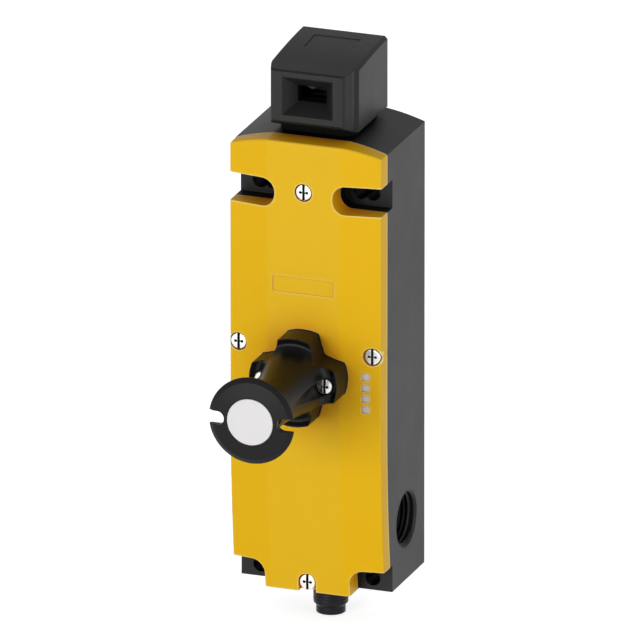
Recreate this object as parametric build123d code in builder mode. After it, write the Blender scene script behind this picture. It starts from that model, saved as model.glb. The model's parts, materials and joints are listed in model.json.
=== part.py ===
"""Key-operated safety switch with guard locking and a front escape release.

Frame: +X is to the right seen from the front, +Y points into the wall, +Z is up.
The rear mounting face is the plane Y = 0, and Z = 0 runs through the two lower
fixing holes.  Sizes are millimetres.  A "depth" is measured forwards from the
rear face, so a point at depth d has Y = -d.
"""

import os
from math import asin, cos, degrees, radians, sin, sqrt

from build123d import *

# Moulded body and its front outline
body_width = 54.0
body_bottom = -4.2
body_side_top = 153.0
crown_rise = 3.2
crown_flat = 27.0
crown_bulge = 0.35
wall = 2.6
rear_wall = 3.0
parting_depth = 36.7
bend_start = 55.8
bend_radius = 440.0

# Front cover
cover_side_depth = 5.9
cover_centre_depth = 8.2
facet_width = 25.6
facet_blend = 6.0
cover_wall = 3.0
cover_edge_radius = 0.8
gasket_thickness = 0.8
gasket_width = 1.2
gasket_inset = 0.7
name_field_size = (22.0, 5.9)
name_field_z = 105.9
name_field_recess = 0.3

# Fixing holes and the notches that leave room for their screws
fixing_span_x = 40.0
fixing_span_z = 137.0
inner_fixing_span = 31.0
fixing_hole_radius = 2.65
notch_z = 137.6
notch_height = 10.0
notch_inner_x = 10.3
notch_corner = 4.6
notch_floor_depth = 31.9
corner_notch_x = 15.1
corner_notch_top = 5.3
corner_notch_radius = 4.7
corner_floor_depth = 31.6

# Cover screws
top_screw_z = 138.9
low_screw_z = -0.75
side_screw_z = 82.9
side_screw_inset = 3.2
screw_head_radius = 2.9
screw_head_height = 2.4
screw_head_sink = 0.2
screw_radius = 1.5
screw_tip_depth = 29.2
screw_slot = 0.8
thread_clearance = 0.03
head_clearance = 0.25
low_notch_floor = 1.4
low_notch_rim = 0.3
cover_reach = 12.0
boss_radius = 4.4

# Indicator windows
window_inset = 5.4
window_size = 2.5
window_top_z = 75.6
window_pitch = 3.83
window_count = 4
window_clearance = 0.05

# Cable entries on both sides
entry_depth = 17.7
entry_z = 17.3
entry_radius = 9.2
entry_chamfer = 0.8
entry_collar_radius = 12.2
entry_length = 9.0
entry_bush_radius = 10.6

# Axis of plunger, cam and lock lever
plunger_depth = 19.5

# Neck of the body and head
neck_size = 23.0
neck_top = 163.0
neck_clearance = 0.15
head_width = 31.0
head_back_depth = 5.0
head_shoulder_depth = 34.0
head_bezel_depth = 36.4
head_front_depth = 41.0
head_bottom = 158.5
head_top_back = 183.4
head_top_front = 180.9
head_arch = 0.35
head_chamfer = 1.0
bezel_step = 1.0
bezel_face_half_width = 13.0
bezel_face_low = 161.6
bezel_face_high = 180.0
bezel_edge = 0.6
key_mouth_size = (18.0, 13.5)
key_slot_size = (10.2, 5.4)
key_z = 170.95
funnel_length = 5.0
key_rib_width = 4.0
key_rib_height = 0.9
chamber_width = 17.0
chamber_top = 180.0
chamber_front_depth = 31.0
chamber_back_depth = 9.5
plug_size = (16.3, 11.1)
plug_depth = 16.5
plug_floor_z = 181.3
plug_gap = 0.1
plug_sink = 0.15
top_slot_size = (10.2, 5.4)
head_screw_x = 8.2
head_screw_z = 161.0
head_screw_radius = 1.2
head_screw_head_radius = 2.1
head_screw_length = 7.2
head_screw_sink = 1.4

# Key cam: its lower flank is a spiral, so the plunger rises evenly
cam_z = 171.6
cam_radius = 8.0
cam_width = 8.0
cam_turn = 60.0
plunger_stroke = 3.0
cam_spiral_lead = 4.0
cam_key_notch_depth = 22.6
axle_radius = 2.0
running_clearance = 0.05
axle_blind_x = 12.0

# Plunger and its bush
plunger_radius = 3.0
plunger_tip_radius = 0.8
plunger_tip_gap = 0.35
bush_radius = 7.0
bush_flange_radius = 8.0
bush_flange_height = 2.0
bush_bottom = 149.0
spring_runs = 12
spring_collar_z = 133.0
spring_collar_height = 1.6
spring_collar_radius = 5.2
carrier_size = (9.0, 8.4)
carrier_bottom = 95.0
carrier_top = 119.5
lock_rod_radius = 2.6
lock_rod_bottom = 84.0
lock_groove_radius = 1.5
lock_groove_z = 87.0
lock_groove_height = 3.1

# Contact block
block_height = 30.0
block_z = 94.0
block_front_depth = 31.0
block_clearance = 0.3
insert_clearance = 0.2
chamber_rows = (98.0, 110.0)
contact_chamber_height = 10.0
contact_chamber_wall = 2.5
contact_chamber_back_depth = 12.0
strip_thickness = 1.0
strip_inner_x = 6.6
bridge_length = 18.4
bridge_width = 4.0
bridge_thickness = 1.0
contact_gap = 0.3
contact_pad_height = 0.3
contact_pad_radius = 1.2
carrier_window_height = 4.6
ear_width = 4.2
ear_thickness = 5.0
block_screw_radius = 1.2
block_screw_head_radius = 1.9

# Solenoid
yoke_side_gap = 1.8
yoke_width = 21.2
yoke_bottom = 30.0
yoke_top = 52.6
yoke_wall = 1.8
yoke_depth = 14.0
bobbin_flange_radius = 8.5
bobbin_tube_radius = 5.6
bobbin_bore = 4.6
winding_radius = 8.1
flange_thickness = 1.2
armature_radius = 4.2
core_height = 4.7

# Lock lever, worked by the taper of the release shaft
lever_pivot_x = 2.0
lever_pivot_z = 62.0
lever_thickness = 4.0
lever_pin_radius = 2.0
lever_hub_radius = 4.2
lever_arm_height = 3.6
fork_slot = 3.4
fork_width = 8.0
follower_radius = 1.5
follower_gap = 0.3
armature_gap = 0.8
armature_stem_radius = 1.3
armature_collar_radius = 2.6

# Escape release on the front
release_z = 74.9
release_seat_depth = 43.7
release_gasket_thickness = 0.5
lobe_reach = 15.6
lobe_half_width = 5.5
lobe_root = 7.5
lobe_root_radius = 2.2
dome_front_depth = 86.5
dome_foot = [(17.0, 55.6), (15.6, 55.2), (13.4, 54.0), (11.7, 55.4), (10.6, 59.0), (8.8, 70.0)]
dome_flank = dome_foot + [(7.6, dome_front_depth)]
release_screw_x = 11.2
release_screw_front_depth = 55.2
release_screw_head_radius = 2.7
release_pocket_radius = 3.0
release_screw_head_height = 2.8
dome_room_radius = 5.5
guide_depth = 58.0
seal_inset = 5.1
seal_wire = 1.4
release_stroke = 6.5
shaft_radius = 3.5
shaft_tip_radius = 0.7
shaft_taper = 0.35
shaft_tip_depth = 28.6
hub_radius = 6.0
hub_clearance = 0.3
hub_length = 7.9
hub_end_gap = 0.4
knob_radius = 15.1
knob_clearance = 0.9
knob_rim = 1.2
knob_edge = 0.5
knob_slope = 1.6
knob_thickness = 2.7
knob_notch_inner = 9.3
knob_notch_width = 4.8
knob_notch_length = 20.0
cap_radius = 8.1
cap_thickness = 1.0
cap_rise = 0.2
cap_clearance = 0.05
shaft_cap_gap = 0.3

# Terminal block and indicator board
terminal_width = 16.0
terminal_z = (33.0, 49.0)
terminal_front_depth = 28.0
terminal_count = 4
board_width = 7.7
board_z = (60.0, 78.4)
board_depth = 34.0
board_thickness = 1.2

# Plug connector under the body
connector_depth = 17.8
connector_radius = 5.9
connector_neck_radius = 5.5
connector_neck_z = -4.6
connector_shoulder_z = -15.2
connector_taper = 1.0
connector_nose_radius = 5.0
connector_bottom = -18.7
connector_bore = 4.2
connector_flange_radius = 7.8
connector_flange_height = 1.5
connector_plate_size = (22.0, 18.0)
insert_bottom = -12.2
insert_length = 14.0
coding_key_bottom = -17.9
coding_key_size = (1.2, 1.0)
pin_circle_radius = 2.75
pin_count = 7
pin_radius = 0.4

# Values that follow from the ones above
half_width = body_width / 2
cover_screw_places = [(0.0, top_screw_z), (0.0, low_screw_z)]
cover_screw_places += [(side * (half_width - side_screw_inset), side_screw_z) for side in (1, -1)]
window_x = half_width - window_inset
inner_x = half_width - wall - insert_clearance
ear_inner_x = inner_x - ear_width
terminal_x = (ear_inner_x - terminal_width, ear_inner_x)
board_x = (inner_x - board_width, inner_x)
block_size = (2 * ear_inner_x, block_height)
contact_chamber_outer_x = ear_inner_x - contact_chamber_wall
solenoid_x = -(half_width - wall - yoke_side_gap - yoke_width / 2)
release_pocket_depth = release_screw_front_depth - release_screw_head_height
knob_rear_depth = dome_front_depth + release_stroke + knob_clearance
knob_front_depth = knob_rear_depth + knob_thickness
hub_rear_depth = knob_rear_depth - hub_length
hub_room_depth = hub_rear_depth - release_stroke - hub_end_gap
seal_depth = hub_room_depth - seal_inset
crown_top = body_side_top + crown_rise
facet_slope = (cover_centre_depth - cover_side_depth) / ((body_width - facet_width) / 2)
fixing_x = fixing_span_x / 2
fixing_top = fixing_span_z
top_margin = crown_top + 4
shaft_taper_length = (shaft_radius - shaft_tip_radius) / shaft_taper
follower_depth = shaft_tip_depth + 1.0
follower_x = -(shaft_tip_radius + shaft_taper * 1.0 + follower_gap + follower_radius)
follower_lift = release_stroke * shaft_taper
lever_angle = degrees(asin(follower_lift / (release_z - lever_pivot_z)))
armature_stroke = (lever_pivot_x - solenoid_x) * sin(radians(lever_angle))
plunger_top = cam_z - cam_radius - plunger_tip_gap
cover_front_depth = parting_depth + cover_centre_depth


def bend(z):
    """How far the parting line has bent back towards the wall at a height z."""
    drop = max(0.0, bend_start - z)
    return bend_radius - sqrt(bend_radius**2 - drop**2)


def facet_depth(x, z):
    """Depth of the outer cover surface at a place on its front."""
    slope = max(0.0, abs(x) - facet_width / 2) * facet_slope
    return cover_front_depth - slope - bend(z)


def front_plane(depth):
    """Upright plane at a depth: local x is X, local y is Z, normal to the front."""
    return Plane.XZ.offset(depth)


def body_outline():
    """Front outline shared by housing and cover, with its crowned top."""
    middle = ((half_width + crown_flat / 2) / 2, (body_side_top + crown_top) / 2 + crown_bulge)
    with BuildSketch() as outline:
        with BuildLine():
            sides = Polyline(
                (-half_width, body_side_top),
                (-half_width, body_bottom),
                (half_width, body_bottom),
                (half_width, body_side_top),
            )
            right = ThreePointArc(sides @ 1, middle, (crown_flat / 2, crown_top))
            flat = Line(right @ 1, (-crown_flat / 2, crown_top))
            ThreePointArc(flat @ 1, (-middle[0], middle[1]), sides @ 0)
        make_face()
    return outline.sketch


def side_notches():
    """Rounded notches, open to the sides, over the upper fixing holes."""
    length = 2 * (half_width - notch_inner_x)
    with BuildSketch() as notches:
        with Locations((half_width, notch_z), (-half_width, notch_z)):
            RectangleRounded(length, notch_height, notch_corner)
    return notches.sketch


def corner_notches():
    """Notches at the lower corners, over the lower fixing holes."""
    width = 2 * (half_width - corner_notch_x)
    height = 2 * (corner_notch_top - body_bottom)
    with BuildSketch() as notches:
        with Locations((half_width, body_bottom), (-half_width, body_bottom)):
            RectangleRounded(width, height, corner_notch_radius)
    return notches.sketch


def cover_outline(inset=0.0):
    """Front outline of the cover with all its notches, moved inwards by inset."""
    with BuildSketch() as outline:
        add(body_face)
        add(side_notch_face, mode=Mode.SUBTRACT)
        add(corner_notch_face, mode=Mode.SUBTRACT)
        if inset:
            offset(amount=-inset)
    return outline.sketch


def gasket_outline(inset):
    """Outline of the cover that also passes inside the two side screws."""
    with BuildSketch() as outline:
        add(body_face)
        add(side_notch_face, mode=Mode.SUBTRACT)
        add(corner_notch_face, mode=Mode.SUBTRACT)
        with Locations(*cover_screw_places[2:]):
            Circle(screw_radius + gasket_inset, mode=Mode.SUBTRACT)
        offset(amount=-inset)
    return outline.sketch


def interior_outline():
    """Room inside the housing: wide middle, narrow between the fixing blocks."""
    middle_bottom = corner_notch_top + wall + 1.1
    middle_top = notch_z - notch_height / 2 - wall - 3
    with BuildSketch() as room:
        middle_height = middle_top - middle_bottom
        with Locations((0, middle_bottom)):
            Rectangle(body_width - 2 * wall, middle_height, align=(Align.CENTER, Align.MIN))
        low = body_bottom + wall
        with Locations((0, low)):
            Rectangle(2 * (corner_notch_x - wall), 20, align=(Align.CENTER, Align.MIN))
        high = bush_bottom - middle_top
        with Locations((0, middle_top)):
            Rectangle(2 * (notch_inner_x - wall), high, align=(Align.CENTER, Align.MIN))
        fillet(room.vertices(), 1.5)
    return room.sketch


def front_region(shift=0.0):
    """All space in front of the parting surface, moved forwards by shift."""
    reach = parting_depth + 60
    with BuildPart() as region:
        with BuildSketch(Plane.YZ):
            with BuildLine():
                start = -(parting_depth + shift)
                upright = Line((start, top_margin), (start, bend_start))
                bent = JernArc(upright @ 1, upright % 1, bend_radius + shift, 8.3)
                low_z = (bent @ 1).Y
                Polyline(bent @ 1, (-reach, low_z), (-reach, top_margin), upright @ 0)
            make_face()
        extrude(amount=half_width + 3, both=True)
    return region.part


def cover_slab(inset=0.0):
    """Three-facet section swept down the cover along its bend; inset thins it."""
    edge_x = half_width + 1
    edge_depth = parting_depth + cover_side_depth - facet_slope - inset
    centre_depth = cover_front_depth - inset
    back_depth = parting_depth - (1.0 if inset else 0.0)
    crease = facet_width / 2
    with BuildPart() as slab:
        with BuildLine(Plane.YZ) as spine:
            upright = Line((-parting_depth, top_margin), (-parting_depth, bend_start))
            JernArc(upright @ 1, upright % 1, bend_radius, 8.3)
        with BuildSketch(Plane.XY.offset(top_margin)) as section:
            with BuildLine():
                Polyline(
                    (-edge_x, -back_depth),
                    (-edge_x, -edge_depth),
                    (-crease, -centre_depth),
                    (crease, -centre_depth),
                    (edge_x, -edge_depth),
                    (edge_x, -back_depth),
                    close=True,
                )
            make_face()
            creases = section.vertices().filter_by(lambda v: abs(abs(v.X) - crease) < 0.01)
            fillet(creases, facet_blend)
        sweep(path=spine.wire())
    return slab.part


def upright_prism(sketch, depth, length):
    """A front-view sketch carried forwards from a depth."""
    with BuildPart() as prism:
        with BuildSketch(front_plane(depth)):
            add(sketch)
        extrude(amount=length)
    return prism.part


def lobe_cross(grow=0.0):
    """Outline of the four-lobed foot of the release, about its own axis."""
    end = sqrt(lobe_reach**2 - lobe_half_width**2)
    with BuildSketch() as cross:
        with BuildLine():
            for turn in range(4):
                quarter = Location((0, 0, 0), (0, 0, 90 * turn))
                points = [(end, -lobe_half_width), (end, lobe_half_width)]
                points += [(lobe_root, lobe_root), (lobe_half_width, end)]
                corners = [(quarter * Location((x, y, 0))).position for x, y in points]
                tip = (quarter * Location((lobe_reach, 0, 0))).position
                ThreePointArc(corners[0], tip, corners[1])
                Polyline(*corners[1:])
        make_face()
        inner = cross.vertices().sort_by(lambda v: sqrt(v.X**2 + v.Y**2))[0:4]
        fillet(inner, lobe_root_radius)
        if grow:
            offset(amount=grow)
    return cross.sketch


def helix_spring(radius, wire, low, high, turns, x, y):
    """Open coil spring about a vertical axis through (x, y), of short straight runs."""
    count = spring_runs * turns
    rise = (high - low - wire) / count
    turn = 360 / spring_runs
    points = [
        (
            x + radius * cos(radians(turn * i)),
            y + radius * sin(radians(turn * i)),
            low + wire / 2 + rise * i,
        )
        for i in range(count + 1)
    ]
    with BuildPart() as coil:
        with BuildLine() as path:
            Polyline(*points)
        with BuildSketch(Plane(origin=path.line @ 0, z_dir=path.line % 0)):
            RegularPolygon(wire / 2, 6)
        sweep(path=path.wire(), transition=Transition.RIGHT)
    return coil.part


def slotted_screw(x, z, front_depth, head_radius, head_height, radius, length, slot, crown=0.3):
    """Screw seen from the front: round head with a slot, shank towards the wall."""
    with BuildPart() as screw:
        with BuildSketch(front_plane(front_depth - head_height)):
            with Locations((x, z)):
                Circle(head_radius)
        extrude(amount=head_height)
        front = screw.faces().sort_by(Axis.Y)[0]
        rim = front.edges()
        chamfer(rim, crown)
        with BuildSketch(front_plane(front_depth - head_height)):
            with Locations((x, z)):
                Circle(radius)
        extrude(amount=-length)
        with BuildSketch(front_plane(front_depth - 1.2)):
            with Locations((x, z)):
                Rectangle(slot, 2 * head_radius + 1)
        extrude(amount=3, mode=Mode.SUBTRACT)
    return screw.part


def save(part, name):
    """Label a finished piece and write it under its own name."""
    part.label = name
    export_step(part, f"parts/{name}.step")


os.makedirs("parts", exist_ok=True)

# Outlines that several pieces share
body_face = body_outline()
side_notch_face = side_notches()
corner_notch_face = corner_notches()
cover_room_face = cover_outline(wall)
gasket_outer_face = gasket_outline(gasket_inset)
gasket_inner_face = gasket_outline(gasket_inset + gasket_width)
interior_face = interior_outline()
lobe_face = lobe_cross()
lobe_seat_face = lobe_cross(0.15)

# Front cover: shell with bosses, screw pockets, release seat and windows
boss_places = cover_screw_places + [(release_screw_x, release_z), (-release_screw_x, release_z)]
with BuildPart() as cover_room:
    add(upright_prism(cover_room_face, parting_depth - 12, 30))
    add(cover_slab(cover_wall), mode=Mode.INTERSECT)
    with BuildSketch(front_plane(parting_depth - 12)):
        with Locations(*boss_places):
            Circle(boss_radius)
    extrude(amount=30, mode=Mode.SUBTRACT)

with BuildPart() as gasket_band:
    with BuildSketch(front_plane(parting_depth - 12)):
        add(gasket_outer_face)
        add(gasket_inner_face, mode=Mode.SUBTRACT)
    extrude(amount=30)
    add(front_region(), mode=Mode.INTERSECT)
    add(front_region(gasket_thickness), mode=Mode.SUBTRACT)

with BuildPart() as front_cover:
    add(upright_prism(body_face, parting_depth - 12, 30))
    add(cover_slab(), mode=Mode.INTERSECT)
    rim_edges = front_cover.edges().filter_by(
        lambda e: e.center().Y < -(parting_depth + cover_side_depth - 5.5)
        and (abs(abs(e.center().X) - half_width) < 0.1 or e.center().Z > body_side_top - 0.5)
        and e.length > 5
    )
    fillet(rim_edges, cover_edge_radius)
    add(cover_room.part, mode=Mode.SUBTRACT)
    add(gasket_band.part, mode=Mode.SUBTRACT)
    with BuildSketch(front_plane(parting_depth - 12)):
        add(side_notch_face)
        add(corner_notch_face)
    extrude(amount=30, mode=Mode.SUBTRACT)
    for screw_x, screw_z in cover_screw_places:
        seat = facet_depth(screw_x, screw_z) - screw_head_sink - screw_head_height
        with BuildSketch(front_plane(seat)):
            with Locations((screw_x, screw_z)):
                Circle(screw_head_radius + head_clearance)
        extrude(amount=cover_reach, mode=Mode.SUBTRACT)
        with BuildSketch(front_plane(seat)):
            with Locations((screw_x, screw_z)):
                Circle(screw_radius + head_clearance)
        extrude(amount=-cover_reach, mode=Mode.SUBTRACT)
    low_x, low_z = cover_screw_places[1]
    low_seat = facet_depth(low_x, low_z) - screw_head_sink - screw_head_height
    with BuildSketch(front_plane(low_seat)):
        with Locations((low_x, low_z)):
            Rectangle(2 * (screw_head_radius + head_clearance), cover_reach, align=(Align.CENTER, Align.MAX))
    extrude(amount=cover_reach, mode=Mode.SUBTRACT)
    with BuildSketch(front_plane(parting_depth + low_notch_floor)):
        with Locations((low_x, low_z - screw_radius - head_clearance - low_notch_rim)):
            Rectangle(2 * (screw_head_radius + head_clearance), cover_reach, align=(Align.CENTER, Align.MAX))
    extrude(amount=cover_reach, mode=Mode.SUBTRACT)
    with BuildSketch(front_plane(release_seat_depth)):
        with Locations((0, release_z)):
            add(lobe_seat_face)
    extrude(amount=5, mode=Mode.SUBTRACT)
    with BuildSketch(front_plane(parting_depth - 1)):
        with Locations((0, release_z)):
            Circle(shaft_radius + 0.7)
        with Locations((release_screw_x, release_z), (-release_screw_x, release_z)):
            Circle(screw_radius + thread_clearance)
    extrude(amount=12, mode=Mode.SUBTRACT)
    with BuildSketch(front_plane(cover_front_depth - name_field_recess)):
        with Locations((0, name_field_z)):
            RectangleRounded(name_field_size[0], name_field_size[1], 0.8)
    extrude(amount=5, mode=Mode.SUBTRACT)
    with BuildSketch(front_plane(parting_depth)):
        for number in range(window_count):
            with Locations((window_x, window_top_z - number * window_pitch)):
                Rectangle(window_size, window_size)
    extrude(amount=12, mode=Mode.SUBTRACT)
save(front_cover.part, "front_cover")
save(gasket_band.part, "cover_gasket")

# Housing: hollow moulding with neck, bosses, cable entries and fixing holes
with BuildPart() as housing:
    with BuildSketch(Plane.XZ):
        add(body_face)
    extrude(amount=parting_depth + 1)
    with BuildSketch(front_plane(rear_wall)):
        add(interior_face)
    extrude(amount=parting_depth, mode=Mode.SUBTRACT)
    with BuildSketch(front_plane(26.0)):
        with Locations((0, cover_screw_places[0][1])):
            Rectangle(2 * notch_inner_x, 9.6)
        with Locations((0, body_bottom + wall - 0.5)):
            Rectangle(9.2, cover_screw_places[1][1] + 5.6, align=(Align.CENTER, Align.MIN))
    extrude(amount=parting_depth - 25)
    with BuildSketch(front_plane(22.0)):
        for screw_x, screw_z in cover_screw_places[2:]:
            side = 1 if screw_x > 0 else -1
            with Locations((side * (half_width - 3.4), screw_z)):
                RectangleRounded(6.6, 8.4, 1.6)
    extrude(amount=parting_depth - 21)
    for side in (1, -1):
        with BuildSketch(Plane.YZ.offset(side * (half_width - entry_length))):
            with Locations((-entry_depth, entry_z)):
                Circle(entry_collar_radius)
        extrude(amount=side * (entry_length - 0.5))
    with BuildSketch(front_plane(rear_wall - 1)):
        with Locations((lever_pivot_x, lever_pivot_z)):
            Circle(lever_hub_radius)
    extrude(amount=plunger_depth - lever_thickness / 2 - 0.5 - rear_wall + 1)
    rib_x = yoke_width / 2 - yoke_wall / 2
    with BuildSketch(front_plane(rear_wall - 1)):
        with Locations((solenoid_x - rib_x, 41), (solenoid_x + rib_x, 41)):
            Rectangle(yoke_wall, 16)
    extrude(amount=plunger_depth - yoke_depth / 2 - rear_wall + 1)
    with BuildSketch(front_plane(20.0)):
        with Locations((half_width - 1, board_z[0])):
            Rectangle(5.0, board_z[1] - board_z[0], align=(Align.MAX, Align.MIN))
    extrude(amount=board_depth - 20)
    with BuildSketch(Plane.XY.offset(body_side_top - 1)):
        with Locations((0, -plunger_depth)):
            RectangleRounded(neck_size, neck_size, 3)
    extrude(amount=neck_top - body_side_top + 1)
    add(front_region(), mode=Mode.SUBTRACT)
    with BuildSketch(front_plane(notch_floor_depth)):
        add(side_notch_face)
    extrude(amount=20, mode=Mode.SUBTRACT)
    with BuildSketch(front_plane(corner_floor_depth)):
        add(corner_notch_face)
    extrude(amount=20, mode=Mode.SUBTRACT)
    inner_x = inner_fixing_span / 2
    with BuildSketch(Plane.XZ):
        with Locations((fixing_x, 0), (-fixing_x, 0), (fixing_x, fixing_top), (-fixing_x, fixing_top)):
            Circle(fixing_hole_radius)
        with Locations((inner_x, fixing_top), (-inner_x, fixing_top)):
            Circle(fixing_hole_radius)
    extrude(amount=parting_depth + 1, mode=Mode.SUBTRACT)
    for screw_x, screw_z in cover_screw_places:
        with BuildSketch(front_plane(parting_depth + 1)):
            with Locations((screw_x, screw_z)):
                Circle(screw_radius + thread_clearance)
        extrude(amount=screw_tip_depth - parting_depth - 2.0, mode=Mode.SUBTRACT)
    for side in (1, -1):
        with BuildSketch(Plane.YZ.offset(side * (half_width - entry_length - 1))):
            with Locations((-entry_depth, entry_z)):
                Circle(entry_bush_radius + thread_clearance)
        extrude(amount=side * (entry_length + 3), mode=Mode.SUBTRACT)
    with BuildSketch(Plane.XY.offset(bush_bottom - 2)):
        with Locations((0, -plunger_depth)):
            Circle(bush_radius + thread_clearance)
    extrude(amount=neck_top - bush_bottom + 4, mode=Mode.SUBTRACT)
    with BuildSketch(Plane.XY.offset(neck_top - bush_flange_height)):
        with Locations((0, -plunger_depth)):
            Circle(bush_flange_radius + thread_clearance)
    extrude(amount=bush_flange_height + 1, mode=Mode.SUBTRACT)
    with BuildSketch(front_plane(plunger_depth - neck_size / 2 - 1)):
        with Locations((head_screw_x, head_screw_z), (-head_screw_x, head_screw_z)):
            Circle(head_screw_radius + thread_clearance)
    extrude(amount=7.2, mode=Mode.SUBTRACT)
    with BuildSketch(Plane.XY.offset(body_bottom - 1)):
        with Locations((0, -connector_depth)):
            Circle(connector_radius + 0.1)
    extrude(amount=wall + 3, mode=Mode.SUBTRACT)
    with BuildSketch(front_plane(rear_wall)):
        with Locations((lever_pivot_x, lever_pivot_z)):
            Circle(lever_pin_radius + thread_clearance)
    extrude(amount=20, mode=Mode.SUBTRACT)
save(housing.part, "housing")

# Threaded bushes of the cable entries
with BuildPart() as entry_bushes:
    for side in (1, -1):
        with BuildSketch(Plane.YZ.offset(side * (half_width - entry_length))):
            with Locations((-entry_depth, entry_z)):
                Circle(entry_bush_radius)
                Circle(entry_radius, mode=Mode.SUBTRACT)
        extrude(amount=side * entry_length)
    mouths = entry_bushes.edges().filter_by(GeomType.CIRCLE).filter_by(
        lambda e: abs(e.radius - entry_radius) < 0.01 and abs(e.center().X) > half_width - 0.1
    )
    chamfer(mouths, entry_chamfer)
save(entry_bushes.part, "entry_bushes")

# Screws of the cover
with BuildPart() as cover_screws:
    for screw_x, screw_z in cover_screw_places:
        screw_front = facet_depth(screw_x, screw_z) - screw_head_sink
        shank = screw_front - screw_head_height - screw_tip_depth
        add(
            slotted_screw(
                screw_x,
                screw_z,
                screw_front,
                screw_head_radius,
                screw_head_height,
                screw_radius,
                shank,
                screw_slot,
            )
        )
save(cover_screws.part, "cover_screws")

# Indicator windows: square light guides through the cover
guide_back = board_depth + board_thickness + 2.2
with BuildPart() as indicator_windows:
    for number in range(window_count):
        guide_size = window_size - 2 * window_clearance
        with BuildSketch(front_plane(guide_back)):
            with Locations((window_x, window_top_z - number * window_pitch)):
                Rectangle(guide_size, guide_size)
        extrude(amount=facet_depth(window_x + window_size / 2, window_top_z) - guide_back)
save(indicator_windows.part, "indicator_windows")

# Indicator board with one lamp behind each window
with BuildPart() as led_board:
    with BuildSketch(front_plane(board_depth)):
        with Locations(((board_x[0] + board_x[1]) / 2, (board_z[0] + board_z[1]) / 2)):
            Rectangle(board_x[1] - board_x[0], board_z[1] - board_z[0])
    extrude(amount=board_thickness)
save(led_board.part, "led_board")

with BuildPart() as leds:
    for number in range(window_count):
        with BuildSketch(front_plane(board_depth + board_thickness)):
            with Locations((window_x, window_top_z - number * window_pitch)):
                Rectangle(2.8, 1.6)
        extrude(amount=0.8)
        with BuildSketch(front_plane(board_depth + board_thickness + 0.8)):
            with Locations((window_x, window_top_z - number * window_pitch)):
                Circle(0.7)
        extrude(amount=0.8, taper=10)
save(leds.part, "leds")

# Head: arched block with a stepped front bezel, key funnel, chamber and top recess
with BuildPart() as head_profile:
    with BuildSketch(Plane.YZ):
        with BuildLine():
            back_top = (-head_back_depth, head_top_back)
            front_top = (-head_shoulder_depth, head_top_front)
            middle_y = (back_top[0] + front_top[0]) / 2
            middle_z = (back_top[1] + front_top[1]) / 2 + head_arch
            top = ThreePointArc(back_top, (middle_y, middle_z), front_top)
            Polyline(
                top @ 1,
                (-head_shoulder_depth, head_bottom),
                (-head_back_depth, head_bottom),
                top @ 0,
            )
        make_face()
    extrude(amount=head_width / 2, both=True)

# Front block of the head: side view first, then its plan with tapered corners
bezel_half_width = head_width / 2 - bezel_step
bezel_bottom = head_bottom + bezel_step
bezel_root_depth = head_shoulder_depth - 1
with BuildPart() as front_block:
    with BuildSketch(Plane.YZ):
        with BuildLine():
            Polyline(
                (-bezel_root_depth, bezel_bottom),
                (-head_bezel_depth, bezel_bottom),
                (-head_front_depth, bezel_face_low),
                (-head_front_depth, bezel_face_high),
                (-head_shoulder_depth, head_top_front),
                (-bezel_root_depth, head_top_front),
                close=True,
            )
        make_face()
    extrude(amount=bezel_half_width, both=True)
    with BuildSketch(Plane.XY.offset(head_bottom)):
        with BuildLine():
            Polyline(
                (-bezel_half_width, -bezel_root_depth),
                (-bezel_half_width, -head_bezel_depth),
                (-bezel_face_half_width, -head_front_depth),
                (bezel_face_half_width, -head_front_depth),
                (bezel_half_width, -head_bezel_depth),
                (bezel_half_width, -bezel_root_depth),
                close=True,
            )
        make_face()
    extrude(amount=head_top_back - head_bottom, mode=Mode.INTERSECT)
    face = front_block.faces().sort_by(Axis.Y)[0]
    chamfer(face.edges(), bezel_edge)

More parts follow.
